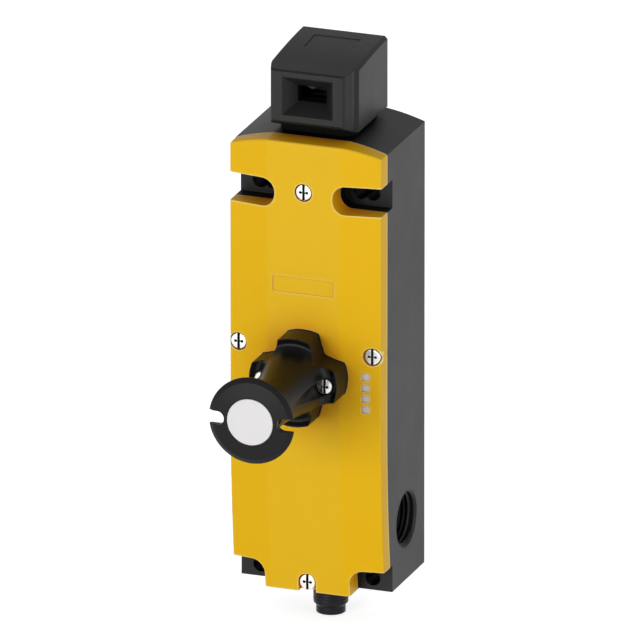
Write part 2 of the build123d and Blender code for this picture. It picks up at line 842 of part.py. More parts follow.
with BuildPart() as head_housing:
    add(head_profile.part)
    shoulder = head_housing.faces().sort_by(Axis.Y)[0]
    sides = head_housing.faces().filter_by(Axis.X)
    upright_edges = shoulder.edges().filter_by(Axis.Z)
    chamfer(sides.edges().filter_by(GeomType.CIRCLE) + upright_edges, head_chamfer)
    add(front_block.part)
    with BuildSketch(Plane.XY.offset(head_bottom - 1)):
        with Locations((0, -plunger_depth)):
            RectangleRounded(neck_size + 2 * neck_clearance, neck_size + 2 * neck_clearance, 3)
    extrude(amount=neck_top + neck_clearance - head_bottom + 1, mode=Mode.SUBTRACT)
    with BuildSketch(Plane.XY.offset(neck_top - 1)):
        with Locations((0, -(chamber_front_depth + chamber_back_depth) / 2)):
            Rectangle(chamber_width, chamber_front_depth - chamber_back_depth)
    extrude(amount=chamber_top - neck_top + 1, mode=Mode.SUBTRACT)
    with BuildSketch(front_plane(head_front_depth - funnel_length)):
        with Locations((0, key_z)):
            Rectangle(*key_slot_size)
    with BuildSketch(front_plane(head_front_depth)):
        with Locations((0, key_z)):
            Rectangle(*key_mouth_size)
    loft(mode=Mode.SUBTRACT)
    with BuildSketch(front_plane(chamber_front_depth - 1)):
        with Locations((0, key_z)):
            Rectangle(*key_slot_size)
        rib_top = key_z + key_slot_size[1] / 2
        with BuildLine():
            Polyline(
                (-key_rib_width / 2, rib_top),
                (0, rib_top - key_rib_height),
                (key_rib_width / 2, rib_top),
                close=True,
            )
        make_face(mode=Mode.SUBTRACT)
    extrude(amount=head_front_depth - funnel_length - chamber_front_depth + 1, mode=Mode.SUBTRACT)
    with BuildSketch(Plane.XY.offset(plug_floor_z)):
        with Locations((0, -plug_depth)):
            RectangleRounded(plug_size[0] + 2 * plug_gap, plug_size[1] + 2 * plug_gap, 0.8)
    extrude(amount=5, mode=Mode.SUBTRACT)
    with BuildSketch(Plane.XY.offset(chamber_top - 1)):
        with Locations((0, -plug_depth)):
            Rectangle(*top_slot_size)
    extrude(amount=5, mode=Mode.SUBTRACT)
    with BuildSketch(Plane.YZ.offset(axle_blind_x)):
        with Locations((-plunger_depth, cam_z)):
            Circle(axle_radius + thread_clearance)
    extrude(amount=-(axle_blind_x + head_width), mode=Mode.SUBTRACT)
    with BuildSketch(front_plane(0)):
        with Locations((head_screw_x, head_screw_z), (-head_screw_x, head_screw_z)):
            Circle(head_screw_radius + 0.2)
    extrude(amount=neck_size / 2, mode=Mode.SUBTRACT)
    with BuildSketch(front_plane(0)):
        with Locations((head_screw_x, head_screw_z), (-head_screw_x, head_screw_z)):
            Circle(head_screw_head_radius + 0.15)
    extrude(amount=head_back_depth + head_screw_sink, mode=Mode.SUBTRACT)
save(head_housing.part, "head_housing")

with BuildPart() as top_slot_plug:
    with BuildSketch(Plane.XY.offset(plug_floor_z)):
        with Locations((0, -plug_depth)):
            RectangleRounded(*plug_size, 0.7)
    extrude(amount=5)
    add(Pos(0, 0, -plug_sink) * head_profile.part, mode=Mode.INTERSECT)
    with BuildSketch(Plane.XY.offset(chamber_top + 0.1)):
        with Locations((0, -plug_depth)):
            Rectangle(top_slot_size[0] - 2 * plug_gap, top_slot_size[1] - 2 * plug_gap)
    extrude(amount=plug_floor_z - chamber_top - 0.1)
save(top_slot_plug.part, "top_slot_plug")

with BuildPart() as head_gasket:
    with BuildSketch(Plane.XY.offset(crown_top)):
        with Locations((0, -plunger_depth)):
            RectangleRounded(neck_size + 4.0, neck_size + 4.0, 4)
            RectangleRounded(neck_size + 0.4, neck_size + 0.4, 3, mode=Mode.SUBTRACT)
    extrude(amount=head_bottom - crown_top)
save(head_gasket.part, "head_gasket")

with BuildPart() as head_screws:
    for screw_x in (head_screw_x, -head_screw_x):
        seat_y = -(head_back_depth + head_screw_sink)
        with BuildSketch(Plane.XZ.offset(-seat_y)):
            with Locations((screw_x, head_screw_z)):
                Circle(head_screw_head_radius)
        extrude(amount=-1.2)
        with BuildSketch(Plane.XZ.offset(-seat_y)):
            with Locations((screw_x, head_screw_z)):
                Circle(head_screw_radius)
        extrude(amount=head_screw_length)
        with BuildSketch(Plane.XZ.offset(-seat_y - 0.6)):
            with Locations((screw_x, head_screw_z)):
                Rectangle(0.6, 5)
        extrude(amount=-2, mode=Mode.SUBTRACT)
save(head_screws.part, "head_screws")


# Key cam: spiral flank above the plunger, notch that takes the key tongue
def cam_point(angle, radius):
    """Point of the cam outline: angle from straight down, towards the wall."""
    turn = radians(angle)
    return (-plunger_depth + radius * sin(turn), cam_z - radius * cos(turn))


def spiral_radius(angle):
    """Cam radius on the spiral flank."""
    return cam_radius - plunger_stroke * angle / cam_turn


spiral_end = cam_turn + cam_spiral_lead
rise_start = spiral_end + 26
rise_end = rise_start + 18
with BuildPart() as key_cam:
    with BuildSketch(Plane.YZ.offset(-cam_width / 2)):
        with BuildLine():
            steps = range(9)
            angles = [-cam_spiral_lead + (spiral_end + cam_spiral_lead) * n / 8 for n in steps]
            flank = Spline(*[cam_point(a, spiral_radius(a)) for a in angles])
            low = ThreePointArc(
                flank @ 1,
                cam_point((spiral_end + rise_start) / 2, spiral_radius(spiral_end)),
                cam_point(rise_start, spiral_radius(spiral_end)),
            )
            rise = Line(low @ 1, cam_point(rise_end, cam_radius))
            back = ThreePointArc(rise @ 1, cam_point(225, cam_radius), cam_point(346, cam_radius))
            Line(back @ 1, flank @ 0)
        make_face()
        with Locations((-plunger_depth, cam_z)):
            Circle(axle_radius + running_clearance, mode=Mode.SUBTRACT)
        with Locations((-cam_key_notch_depth, key_z)):
            Rectangle(12, key_slot_size[1] + 0.6, align=(Align.MAX, Align.CENTER), mode=Mode.SUBTRACT)
    extrude(amount=cam_width)
save(key_cam.part, "key_cam")

with BuildPart() as cam_axle:
    with BuildSketch(Plane.YZ.offset(axle_blind_x - 0.2)):
        with Locations((-plunger_depth, cam_z)):
            Circle(axle_radius)
    extrude(amount=-(axle_blind_x - 0.2 + head_width / 2 - 0.3))
    chamfer(cam_axle.edges().filter_by(GeomType.CIRCLE), 0.3)
save(cam_axle.part, "cam_axle")

# Plunger with contact carrier, its bush and spring
with BuildPart() as guide_bush:
    with BuildSketch(Plane.XY.offset(bush_bottom)):
        with Locations((0, -plunger_depth)):
            Circle(bush_radius)
    extrude(amount=neck_top - bush_bottom - 0.2)
    with BuildSketch(Plane.XY.offset(neck_top - bush_flange_height)):
        with Locations((0, -plunger_depth)):
            Circle(bush_flange_radius)
    extrude(amount=bush_flange_height - 0.2)
    with BuildSketch(Plane.XY.offset(bush_bottom - 1)):
        with Locations((0, -plunger_depth)):
            Circle(plunger_radius + running_clearance)
    extrude(amount=neck_top - bush_bottom + 2, mode=Mode.SUBTRACT)
save(guide_bush.part, "guide_bush")

lower_row, upper_row = chamber_rows
lower_bridge_z = lower_row + strip_thickness + contact_gap + contact_pad_height
upper_ceiling = upper_row + contact_chamber_height
upper_bridge_z = (
    upper_ceiling
    - strip_thickness
    - contact_gap
    - plunger_stroke
    - contact_pad_height
    - bridge_thickness
)
cone_height = (plunger_radius - plunger_tip_radius) * 1.0
with BuildPart() as plunger:
    with BuildSketch(Plane.YZ):
        with BuildLine():
            axis_y = -plunger_depth
            tip = plunger_top
            Polyline(
                (axis_y, lock_rod_bottom),
                (axis_y + lock_rod_radius, lock_rod_bottom),
                (axis_y + lock_rod_radius, lock_groove_z),
                (axis_y + lock_groove_radius, lock_groove_z),
                (axis_y + lock_groove_radius, lock_groove_z + lock_groove_height),
                (axis_y + lock_rod_radius, lock_groove_z + lock_groove_height),
                (axis_y + lock_rod_radius, carrier_bottom + 2),
                (axis_y + plunger_radius, carrier_bottom + 2),
                (axis_y + plunger_radius, spring_collar_z),
                (axis_y + spring_collar_radius, spring_collar_z),
                (axis_y + spring_collar_radius, spring_collar_z + spring_collar_height),
                (axis_y + plunger_radius, spring_collar_z + spring_collar_height),
                (axis_y + plunger_radius, tip - cone_height),
                (axis_y + plunger_tip_radius, tip),
                (axis_y, tip),
                close=True,
            )
        make_face()
    revolve(axis=Axis((0, axis_y, 0), (0, 0, 1)))
    with BuildSketch(Plane.XY.offset(carrier_bottom)):
        with Locations((0, -plunger_depth)):
            Rectangle(*carrier_size)
    extrude(amount=carrier_top - carrier_bottom)
    window_width = bridge_width + 0.1
    with BuildSketch(Plane.YZ.offset(-carrier_size[0])):
        with Locations((-plunger_depth, lower_bridge_z)):
            Rectangle(window_width, carrier_window_height, align=(Align.CENTER, Align.MIN))
        with Locations((-plunger_depth, upper_bridge_z + bridge_thickness)):
            Rectangle(window_width, carrier_window_height, align=(Align.CENTER, Align.MAX))
    extrude(amount=2 * carrier_size[0], mode=Mode.SUBTRACT)
save(plunger.part, "plunger")

with BuildPart() as moving_contacts:
    for bridge_z, pad_side in ((lower_bridge_z, -1), (upper_bridge_z, 1)):
        with BuildSketch(Plane.XY.offset(bridge_z)):
            with Locations((0, -plunger_depth)):
                SlotOverall(bridge_length, bridge_width)
        extrude(amount=bridge_thickness)
        pad_base = bridge_z + (bridge_thickness if pad_side > 0 else 0)
        with BuildSketch(Plane.XY.offset(pad_base)):
            pad_x = bridge_length / 2 - bridge_width / 2
            with Locations((pad_x, -plunger_depth), (-pad_x, -plunger_depth)):
                Circle(contact_pad_radius)
        extrude(amount=pad_side * contact_pad_height)
save(moving_contacts.part, "moving_contacts")

block_top = block_z + block_size[1]
plunger_spring = helix_spring(
    plunger_radius + 1.3, 0.8, block_top, spring_collar_z, 5, 0, -plunger_depth
)
save(plunger_spring, "plunger_spring")

# Contact block with four chambers, fixed contacts and their screws
with BuildPart() as contact_block:
    with BuildSketch(front_plane(rear_wall)):
        with Locations((0, block_z + block_size[1] / 2)):
            Rectangle(*block_size)
    extrude(amount=block_front_depth - rear_wall)
    chamfer(contact_block.edges().filter_by(Axis.Y), 0.8)
    with BuildSketch(front_plane(rear_wall)):
        with Locations((0, block_z + block_size[1] / 2)):
            Rectangle(block_size[0] + 2 * ear_width, 10)
    extrude(amount=ear_thickness)
    channel = (carrier_size[0] + 2 * block_clearance, carrier_size[1] + 2 * block_clearance)
    with BuildSketch(Plane.XY.offset(block_z - 1)):
        with Locations((0, -plunger_depth)):
            Rectangle(*channel)
    extrude(amount=block_size[1] + 2, mode=Mode.SUBTRACT)
    chamber_x = (channel[0] / 2 - 1 + contact_chamber_outer_x) / 2
    chamber_size = contact_chamber_outer_x - channel[0] / 2 + 1
    with BuildSketch(front_plane(contact_chamber_back_depth)):
        for row_z in chamber_rows:
            with Locations((chamber_x, row_z), (-chamber_x, row_z)):
                Rectangle(chamber_size, contact_chamber_height, align=(Align.CENTER, Align.MIN))
    extrude(amount=block_front_depth, mode=Mode.SUBTRACT)
    ear_x = block_size[0] / 2 + ear_width / 2
    with BuildSketch(front_plane(0)):
        with Locations((ear_x, block_z + 15), (-ear_x, block_z + 15)):
            Circle(block_screw_radius + 0.1)
    extrude(amount=block_front_depth, mode=Mode.SUBTRACT)
save(contact_block.part, "contact_block")

strip_length = contact_chamber_outer_x - strip_inner_x
strip_x = (contact_chamber_outer_x + strip_inner_x) / 2
with BuildPart() as fixed_contacts:
    for side in (1, -1):
        for row_z, upwards in ((lower_row, 1), (upper_ceiling, -1)):
            with BuildSketch(front_plane(contact_chamber_back_depth)):
                with Locations((side * strip_x, row_z)):
                    align = (Align.CENTER, Align.MIN if upwards > 0 else Align.MAX)
                    Rectangle(strip_length, strip_thickness, align=align)
            extrude(amount=block_front_depth - contact_chamber_back_depth - 1)
            with BuildSketch(front_plane(block_front_depth - 1 - strip_thickness)):
                with Locations((side * strip_x, row_z)):
                    Rectangle(strip_length, contact_chamber_height - 0.6, align=align)
            extrude(amount=strip_thickness)
            with BuildSketch(front_plane(block_front_depth - 4)):
                with Locations((side * strip_x, row_z + upwards * contact_chamber_height / 2)):
                    Circle(1.2)
            extrude(amount=5, mode=Mode.SUBTRACT)
save(fixed_contacts.part, "fixed_contacts")

with BuildPart() as contact_screws:
    for side in (1, -1):
        for row_z in (lower_row + contact_chamber_height / 2, upper_row + contact_chamber_height / 2):
            add(
                slotted_screw(
                    side * strip_x, row_z, block_front_depth + 0.8, 2.6, 1.8, 1.15, 6.0, 0.7
                )
            )
save(contact_screws.part, "contact_screws")

# Terminal block for the incoming wires
with BuildPart() as terminal_block:
    terminal_height = terminal_z[1] - terminal_z[0]
    terminal_centre = ((terminal_x[0] + terminal_x[1]) / 2, (terminal_z[0] + terminal_z[1]) / 2)
    with BuildSketch(front_plane(rear_wall)):
        with Locations(terminal_centre):
            Rectangle(terminal_width, terminal_height)
    extrude(amount=terminal_front_depth - rear_wall)
    with BuildSketch(front_plane(rear_wall)):
        with Locations((terminal_x[1] + ear_width / 2, terminal_centre[1])):
            Rectangle(ear_width, terminal_height)
    extrude(amount=ear_thickness)
    cell = terminal_width / terminal_count
    with BuildSketch(front_plane(terminal_front_depth)):
        for number in range(terminal_count):
            with Locations((terminal_x[0] + (number + 0.5) * cell, terminal_z[0] + 10.5)):
                Circle(cell / 2 - 0.35)
    extrude(amount=-8, mode=Mode.SUBTRACT)
    with BuildSketch(Plane.XY.offset(terminal_z[0])):
        for number in range(terminal_count):
            with Locations((terminal_x[0] + (number + 0.5) * cell, -(terminal_front_depth - 11))):
                Rectangle(cell - 1.2, 5.0)
    extrude(amount=10.5, mode=Mode.SUBTRACT)
    with BuildSketch(front_plane(0)):
        ear_centre = terminal_x[1] + ear_width / 2
        with Locations((ear_centre, terminal_z[0] + 3.5), (ear_centre, terminal_z[1] - 3.5)):
            Circle(block_screw_radius + 0.1)
    extrude(amount=rear_wall + ear_thickness + 1, mode=Mode.SUBTRACT)
save(terminal_block.part, "terminal_block")

with BuildPart() as terminal_screws:
    for number in range(terminal_count):
        add(
            slotted_screw(
                terminal_x[0] + (number + 0.5) * cell,
                terminal_z[0] + 10.5,
                terminal_front_depth - 1.5,
                cell / 2 - 0.5,
                1.5,
                1.0,
                4.9,
                0.5,
            )
        )
save(terminal_screws.part, "terminal_screws")

block_screw_places = [
    (ear_x, block_z + 15),
    (-ear_x, block_z + 15),
    (ear_centre, terminal_z[0] + 3.5),
    (ear_centre, terminal_z[1] - 3.5),
]
with BuildPart() as block_screws:
    for screw_x, screw_z in block_screw_places:
        add(
            slotted_screw(
                screw_x,
                screw_z,
                rear_wall + ear_thickness + 1.4,
                block_screw_head_radius,
                1.4,
                block_screw_radius,
                ear_thickness,
                0.5,
            )
        )
save(block_screws.part, "block_screws")

# Solenoid: frame, coil former, winding, fixed core and armature
yoke_back = plunger_depth - yoke_depth / 2
with BuildPart() as solenoid_yoke:
    with BuildSketch(front_plane(yoke_back)):
        with Locations((solenoid_x, (yoke_bottom + yoke_top) / 2)):
            Rectangle(yoke_width, yoke_top - yoke_bottom)
            inner_height = yoke_top - yoke_bottom - 2 * yoke_wall
            Rectangle(yoke_width - 2 * yoke_wall, inner_height, mode=Mode.SUBTRACT)
    extrude(amount=yoke_depth)
    with BuildSketch(Plane.XY.offset(yoke_bottom - 1)):
        with Locations((solenoid_x, -plunger_depth)):
            Circle(bobbin_bore)
    extrude(amount=yoke_top - yoke_bottom + 2, mode=Mode.SUBTRACT)
save(solenoid_yoke.part, "solenoid_yoke")

bobbin_bottom = yoke_bottom + yoke_wall
bobbin_top = yoke_top - yoke_wall
with BuildPart() as solenoid_bobbin:
    with BuildSketch(Plane.XY.offset(bobbin_bottom)):
        with Locations((solenoid_x, -plunger_depth)):
            Circle(bobbin_flange_radius)
    extrude(amount=flange_thickness)
    with BuildSketch(Plane.XY.offset(bobbin_top - flange_thickness)):
        with Locations((solenoid_x, -plunger_depth)):
            Circle(bobbin_flange_radius)
    extrude(amount=flange_thickness)
    with BuildSketch(Plane.XY.offset(bobbin_bottom)):
        with Locations((solenoid_x, -plunger_depth)):
            Circle(bobbin_tube_radius)
    extrude(amount=bobbin_top - bobbin_bottom)
    with BuildSketch(Plane.XY.offset(bobbin_bottom)):
        with Locations((solenoid_x, -plunger_depth)):
            Circle(bobbin_bore)
    extrude(amount=bobbin_top - bobbin_bottom, mode=Mode.SUBTRACT)
save(solenoid_bobbin.part, "solenoid_bobbin")

with BuildPart() as solenoid_winding:
    with BuildSketch(Plane.XY.offset(bobbin_bottom + flange_thickness)):
        with Locations((solenoid_x, -plunger_depth)):
            Circle(winding_radius)
            Circle(bobbin_tube_radius, mode=Mode.SUBTRACT)
    extrude(amount=bobbin_top - bobbin_bottom - 2 * flange_thickness)
save(solenoid_winding.part, "solenoid_winding")

core_top = yoke_bottom + yoke_wall + core_height
with BuildPart() as solenoid_core:
    with BuildSketch(Plane.XY.offset(yoke_bottom)):
        with Locations((solenoid_x, -plunger_depth)):
            Circle(bobbin_bore - 0.05)
    extrude(amount=core_top - yoke_bottom)
save(solenoid_core.part, "solenoid_core")

arm_low = lever_pivot_z - lever_arm_height / 2
arm_high = lever_pivot_z + lever_arm_height / 2
armature_bottom = core_top + armature_stroke + 0.5
armature_shoulder = arm_low - armature_gap
flange_low = armature_shoulder - 1.5
with BuildPart() as armature:
    with BuildSketch(Plane.YZ.offset(solenoid_x)):
        with BuildLine():
            axis_y = -plunger_depth
            Polyline(
                (axis_y, armature_bottom),
                (axis_y + armature_radius, armature_bottom),
                (axis_y + armature_radius, flange_low),
                (axis_y + armature_radius + 2.0, flange_low),
                (axis_y + armature_radius + 2.0, armature_shoulder),
                (axis_y + armature_stem_radius, armature_shoulder),
                (axis_y + armature_stem_radius, arm_high + armature_gap),
                (axis_y + armature_collar_radius, arm_high + armature_gap),
                (axis_y + armature_collar_radius, arm_high + armature_gap + 1.4),
                (axis_y, arm_high + armature_gap + 1.4),
                close=True,
            )
        make_face()
    revolve(axis=Axis((solenoid_x, axis_y, 0), (0, 0, 1)))
save(armature.part, "armature")

armature_spring = helix_spring(
    armature_radius + 0.9, 0.6, yoke_top, flange_low, 3, solenoid_x, -plunger_depth
)
save(armature_spring, "armature_spring")

# Lock lever: bell crank with follower post, fork for the armature and locking nose
nose_x = -(lock_rod_radius + follower_gap)
nose_low = lock_groove_z + lock_groove_height + 0.2
nose_high = nose_low + 2.6
lever_back = plunger_depth - lever_thickness / 2
with BuildPart() as lock_lever:
    with BuildSketch(front_plane(lever_back)):
        with BuildLine():
            Polyline(
                (lever_pivot_x + 2.6, lever_pivot_z + 3.3),
                (-0.6, release_z + 2.6),
                (nose_x - 2.0, lock_rod_bottom),
                (nose_x - 2.0, nose_low - 0.8),
                (nose_x, nose_low),
                (nose_x, nose_high),
                (nose_x - 5.5, nose_high),
                (nose_x - 5.5, lock_rod_bottom - 2),
                (nose_x - 3.0, release_z),
                (nose_x - 2.0, arm_high + 2.0),
                (solenoid_x + 2.2, arm_high),
                (solenoid_x + 2.2, arm_low),
                (lever_pivot_x, lever_pivot_z - 4.0),
                close=True,
            )
        make_face()
        with Locations((lever_pivot_x, lever_pivot_z)):
            Circle(lever_hub_radius)
    extrude(amount=lever_thickness)
    with BuildSketch(front_plane(plunger_depth - fork_width / 2)):
        with Locations((solenoid_x + 2.4, lever_pivot_z)):
            Rectangle(5.6, lever_arm_height, align=(Align.MAX, Align.CENTER))
    extrude(amount=fork_width)
    with BuildSketch(Plane.XY.offset(arm_low - 1)):
        with Locations((solenoid_x, -plunger_depth)):
            SlotOverall(2 * fork_slot, fork_slot)
        with Locations((solenoid_x, -plunger_depth)):
            Rectangle(10, fork_slot, align=(Align.MAX, Align.CENTER))
    extrude(amount=lever_arm_height + 2, mode=Mode.SUBTRACT)
    with BuildSketch(front_plane(lever_back)):
        with Locations((follower_x, release_z)):
            Circle(follower_radius)
    extrude(amount=follower_depth - lever_back)
    with BuildSketch(front_plane(0)):
        with Locations((lever_pivot_x, lever_pivot_z)):
            Circle(lever_pin_radius + running_clearance)
    extrude(amount=parting_depth, mode=Mode.SUBTRACT)
save(lock_lever.part, "lock_lever")

pin_front = plunger_depth + lever_thickness / 2 + 2.0
with BuildPart() as lever_pin:
    with BuildSketch(front_plane(rear_wall + 0.2)):
        with Locations((lever_pivot_x, lever_pivot_z)):
            Circle(lever_pin_radius)
    extrude(amount=pin_front - rear_wall - 0.2)
    with BuildSketch(front_plane(pin_front - 1.4)):
        with Locations((lever_pivot_x, lever_pivot_z)):
            Circle(lever_pin_radius + 1)
            Circle(lever_pin_radius - 0.4, mode=Mode.SUBTRACT)
    extrude(amount=0.6, mode=Mode.SUBTRACT)
save(lever_pin.part, "lever_pin")

with BuildPart() as lever_clip:
    with BuildSketch(front_plane(pin_front - 1.4)):
        with Locations((lever_pivot_x, lever_pivot_z)):
            Circle(lever_hub_radius - 0.2)
            Circle(lever_pin_radius - 0.4, mode=Mode.SUBTRACT)
        with Locations((lever_pivot_x, lever_pivot_z)):
            Rectangle(2.4, 6, align=(Align.CENTER, Align.MAX), mode=Mode.SUBTRACT)
    extrude(amount=0.6)
save(lever_clip.part, "lever_clip")

# Release dome: four-lobed foot whose faces sweep up into a cone, with screw channels
dome_rear_depth = release_seat_depth + release_gasket_thickness
screw_spots = [(release_screw_x, release_z), (-release_screw_x, release_z)]
with BuildPart() as release_housing:
    with BuildSketch(front_plane(dome_rear_depth)):
        with Locations((0, release_z)):
            add(lobe_face)
    extrude(amount=dome_front_depth - dome_rear_depth)
    with BuildSketch(Plane.XY.offset(release_z)):
        with BuildLine():
            flank = Spline(*[(radius, -depth) for radius, depth in dome_flank])
            Polyline(
                flank @ 1,
                (0, -dome_front_depth),
                (0, -dome_rear_depth),
                (dome_flank[0][0], -dome_rear_depth),
                flank @ 0,
            )
        make_face()
    revolve(axis=Axis((0, 0, release_z), (0, 1, 0)), mode=Mode.INTERSECT)
    with BuildSketch(front_plane(release_pocket_depth)):
        with Locations(*screw_spots):
            Circle(release_pocket_radius)
    extrude(amount=dome_front_depth, mode=Mode.SUBTRACT)
    with BuildSketch(front_plane(dome_rear_depth)):
        with Locations(*screw_spots):
            Circle(screw_radius + 0.2)
    extrude(amount=release_pocket_depth - dome_rear_depth + 1, mode=Mode.SUBTRACT)
    with BuildSketch(Plane.XY.offset(release_z)):
        guide = shaft_radius + running_clearance
        with BuildLine():
            Polyline(
                (0, -dome_rear_depth),
                (dome_room_radius, -dome_rear_depth),
                (dome_room_radius, -guide_depth),
                (guide, -guide_depth),
                (guide, -seal_depth),
                (guide + seal_wire, -seal_depth),
                (guide + seal_wire, -seal_depth - seal_wire),
                (guide, -seal_depth - seal_wire),
                (guide, -hub_room_depth),
                (hub_radius + hub_clearance, -hub_room_depth),
                (hub_radius + hub_clearance, -dome_front_depth - 1),
                (0, -dome_front_depth - 1),
                close=True,
            )
        make_face()
    revolve(axis=Axis((0, 0, release_z), (0, 1, 0)), mode=Mode.SUBTRACT)
save(release_housing.part, "release_housing")

with BuildPart() as release_gasket:
    with BuildSketch(front_plane(release_seat_depth)):
        with Locations((0, release_z)):
            add(lobe_face)
            Circle(dome_room_radius, mode=Mode.SUBTRACT)
        with Locations(*screw_spots):
            Circle(screw_radius + 0.2, mode=Mode.SUBTRACT)
    extrude(amount=release_gasket_thickness)
save(release_gasket.part, "release_gasket")

with BuildPart() as release_screws:
    for screw_x, screw_z in screw_spots:
        shank = release_pocket_depth - parting_depth - 1.0
        add(
            slotted_screw(
                screw_x,
                screw_z,
                release_screw_front_depth,
                release_screw_head_radius,
                release_screw_head_height,
                screw_radius,
                shank,
                0.7,
                crown=1.2,
            )
        )
save(release_screws.part, "release_screws")

with BuildPart() as release_seal:
    with BuildSketch(Plane.XY.offset(release_z)):
        with Locations((guide + seal_wire / 2 - 0.02, -seal_depth - seal_wire / 2)):
            RegularPolygon(seal_wire / 2 - 0.03, 8)
    revolve(axis=Axis((0, 0, release_z), (0, 1, 0)))
save(release_seal.part, "release_seal")

# Release shaft with its taper, retaining ring, knob and cap
cap_floor_depth = knob_front_depth + cap_rise - cap_thickness
shaft_front_depth = cap_floor_depth - shaft_cap_gap
ring_groove_depth = guide_depth - 1.1
with BuildPart() as release_shaft:
    with BuildSketch(Plane.XY.offset(release_z)):
        with BuildLine():
            Polyline(
                (0, -shaft_tip_depth),
                (shaft_tip_radius, -shaft_tip_depth),
                (shaft_radius, -shaft_tip_depth - shaft_taper_length),
                (shaft_radius, -ring_groove_depth),
                (shaft_radius - 0.6, -ring_groove_depth),
                (shaft_radius - 0.6, -ring_groove_depth - 0.8),
                (shaft_radius, -ring_groove_depth - 0.8),
                (shaft_radius, -shaft_front_depth),
                (0, -shaft_front_depth),
                close=True,
            )
        make_face()
    revolve(axis=Axis((0, 0, release_z), (0, 1, 0)))
save(release_shaft.part, "release_shaft")

with BuildPart() as release_ring:
    with BuildSketch(front_plane(ring_groove_depth)):
        with Locations((0, release_z)):
            Circle(shaft_radius + 1.3)
            Circle(shaft_radius - 0.6, mode=Mode.SUBTRACT)
            Rectangle(2.6, 8, align=(Align.CENTER, Align.MAX), mode=Mode.SUBTRACT)
    extrude(amount=0.8)
save(release_ring.part, "release_ring")

with BuildPart() as release_knob:
    with BuildSketch(Plane.XY.offset(release_z)):
        with BuildLine():
            Polyline(
                (0, -hub_rear_depth),
                (hub_radius, -hub_rear_depth),
                (hub_radius, -knob_rear_depth),
                (knob_radius - knob_edge, -knob_rear_depth),
                (knob_radius, -knob_rear_depth - knob_edge),
                (knob_radius, -knob_rear_depth - knob_rim),
                (knob_radius - knob_slope, -knob_front_depth + knob_edge),
                (cap_radius + knob_edge, -knob_front_depth),
                (0, -knob_front_depth),
                close=True,
            )
        make_face()
    revolve(axis=Axis((0, 0, release_z), (0, 1, 0)))
    with BuildSketch(front_plane(knob_rear_depth - knob_rim)):
        with Locations((0, release_z)):
            for side in (1, -1):
                with Locations((side * (knob_notch_inner + knob_notch_length / 2), 0)):
                    SlotOverall(knob_notch_length, knob_notch_width)
    extrude(amount=knob_thickness + 2 * knob_rim, mode=Mode.SUBTRACT)
    with BuildSketch(front_plane(cap_floor_depth)):
        with Locations((0, release_z)):
            Circle(cap_radius + cap_clearance)
    extrude(amount=cap_thickness, mode=Mode.SUBTRACT)
    with BuildSketch(front_plane(0)):
        with Locations((0, release_z)):
            Circle(shaft_radius)
    extrude(amount=shaft_front_depth, mode=Mode.SUBTRACT)
save(release_knob.part, "release_knob")

with BuildPart() as knob_cap:
    with BuildSketch(front_plane(cap_floor_depth)):
        with Locations((0, release_z)):
            Circle(cap_radius)
    extrude(amount=cap_thickness)
    chamfer(knob_cap.faces().sort_by(Axis.Y)[0].edges(), 0.15)
save(knob_cap.part, "knob_cap")

# Plug connector: shell, seal, clamping plate, insert and pins
with BuildPart() as connector_shell:
    with BuildSketch(Plane.YZ):
        with BuildLine():
            axis_y = -connector_depth
            low = body_bottom + wall
            Polyline(
                (axis_y + connector_bore, connector_bottom),
                (axis_y + connector_nose_radius, connector_bottom),
                (axis_y + connector_nose_radius, connector_shoulder_z - connector_taper),
                (axis_y + connector_radius, connector_shoulder_z),
                (axis_y + connector_radius, connector_neck_z),
                (axis_y + connector_neck_radius, connector_neck_z),
                (axis_y + connector_neck_radius, low),
                (axis_y + connector_flange_radius, low),
                (axis_y + connector_flange_radius, low + connector_flange_height),
                (axis_y + connector_neck_radius, low + connector_flange_height),
                (axis_y + connector_neck_radius, low + connector_flange_height + 3.0),
                (axis_y + connector_bore, low + connector_flange_height + 3.0),
                close=True,
            )
        make_face()
    revolve(axis=Axis((0, axis_y, 0), (0, 0, 1)))
save(connector_shell.part, "connector_shell")

plate_low = body_bottom + wall + connector_flange_height
with BuildPart() as connector_plate:
    with BuildSketch(Plane.XY.offset(plate_low)):
        with Locations((0, -connector_depth + 1.0)):
            RectangleRounded(*connector_plate_size, 2)
        with Locations((0, -connector_depth)):
            Circle(connector_neck_radius + running_clearance, mode=Mode.SUBTRACT)
    extrude(amount=1.5)
save(connector_plate.part, "connector_plate")

with BuildPart() as connector_insert:
    with BuildSketch(Plane.XY.offset(insert_bottom)):
        with Locations((0, -connector_depth)):
            Circle(connector_bore - 0.02)
            with PolarLocations(pin_circle_radius, pin_count):
                Circle(pin_radius, mode=Mode.SUBTRACT)
            Circle(pin_radius, mode=Mode.SUBTRACT)
    extrude(amount=insert_length)
    with BuildSketch(Plane.XY.offset(coding_key_bottom)):
        with Locations((0, -connector_depth - connector_bore + 0.6)):
            Rectangle(*coding_key_size)
    extrude(amount=insert_bottom - coding_key_bottom + 1)
save(connector_insert.part, "connector_insert")

with BuildPart() as connector_pins:
    with BuildSketch(Plane.XY.offset(connector_bottom + 1.5)):
        with Locations((0, -connector_depth)):
            with PolarLocations(pin_circle_radius, pin_count):
                Circle(pin_radius)
            Circle(pin_radius)
    extrude(amount=22.0)
save(connector_pins.part, "connector_pins")
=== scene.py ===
"""Finishes, fasteners and threads of a key-operated safety switch with an escape release.

Lengths in this file are millimetres until a piece is made.  Its row frame is the frame
of the solids: X to the right seen from the front, Y into the wall, Z up.
"""

import json
import math

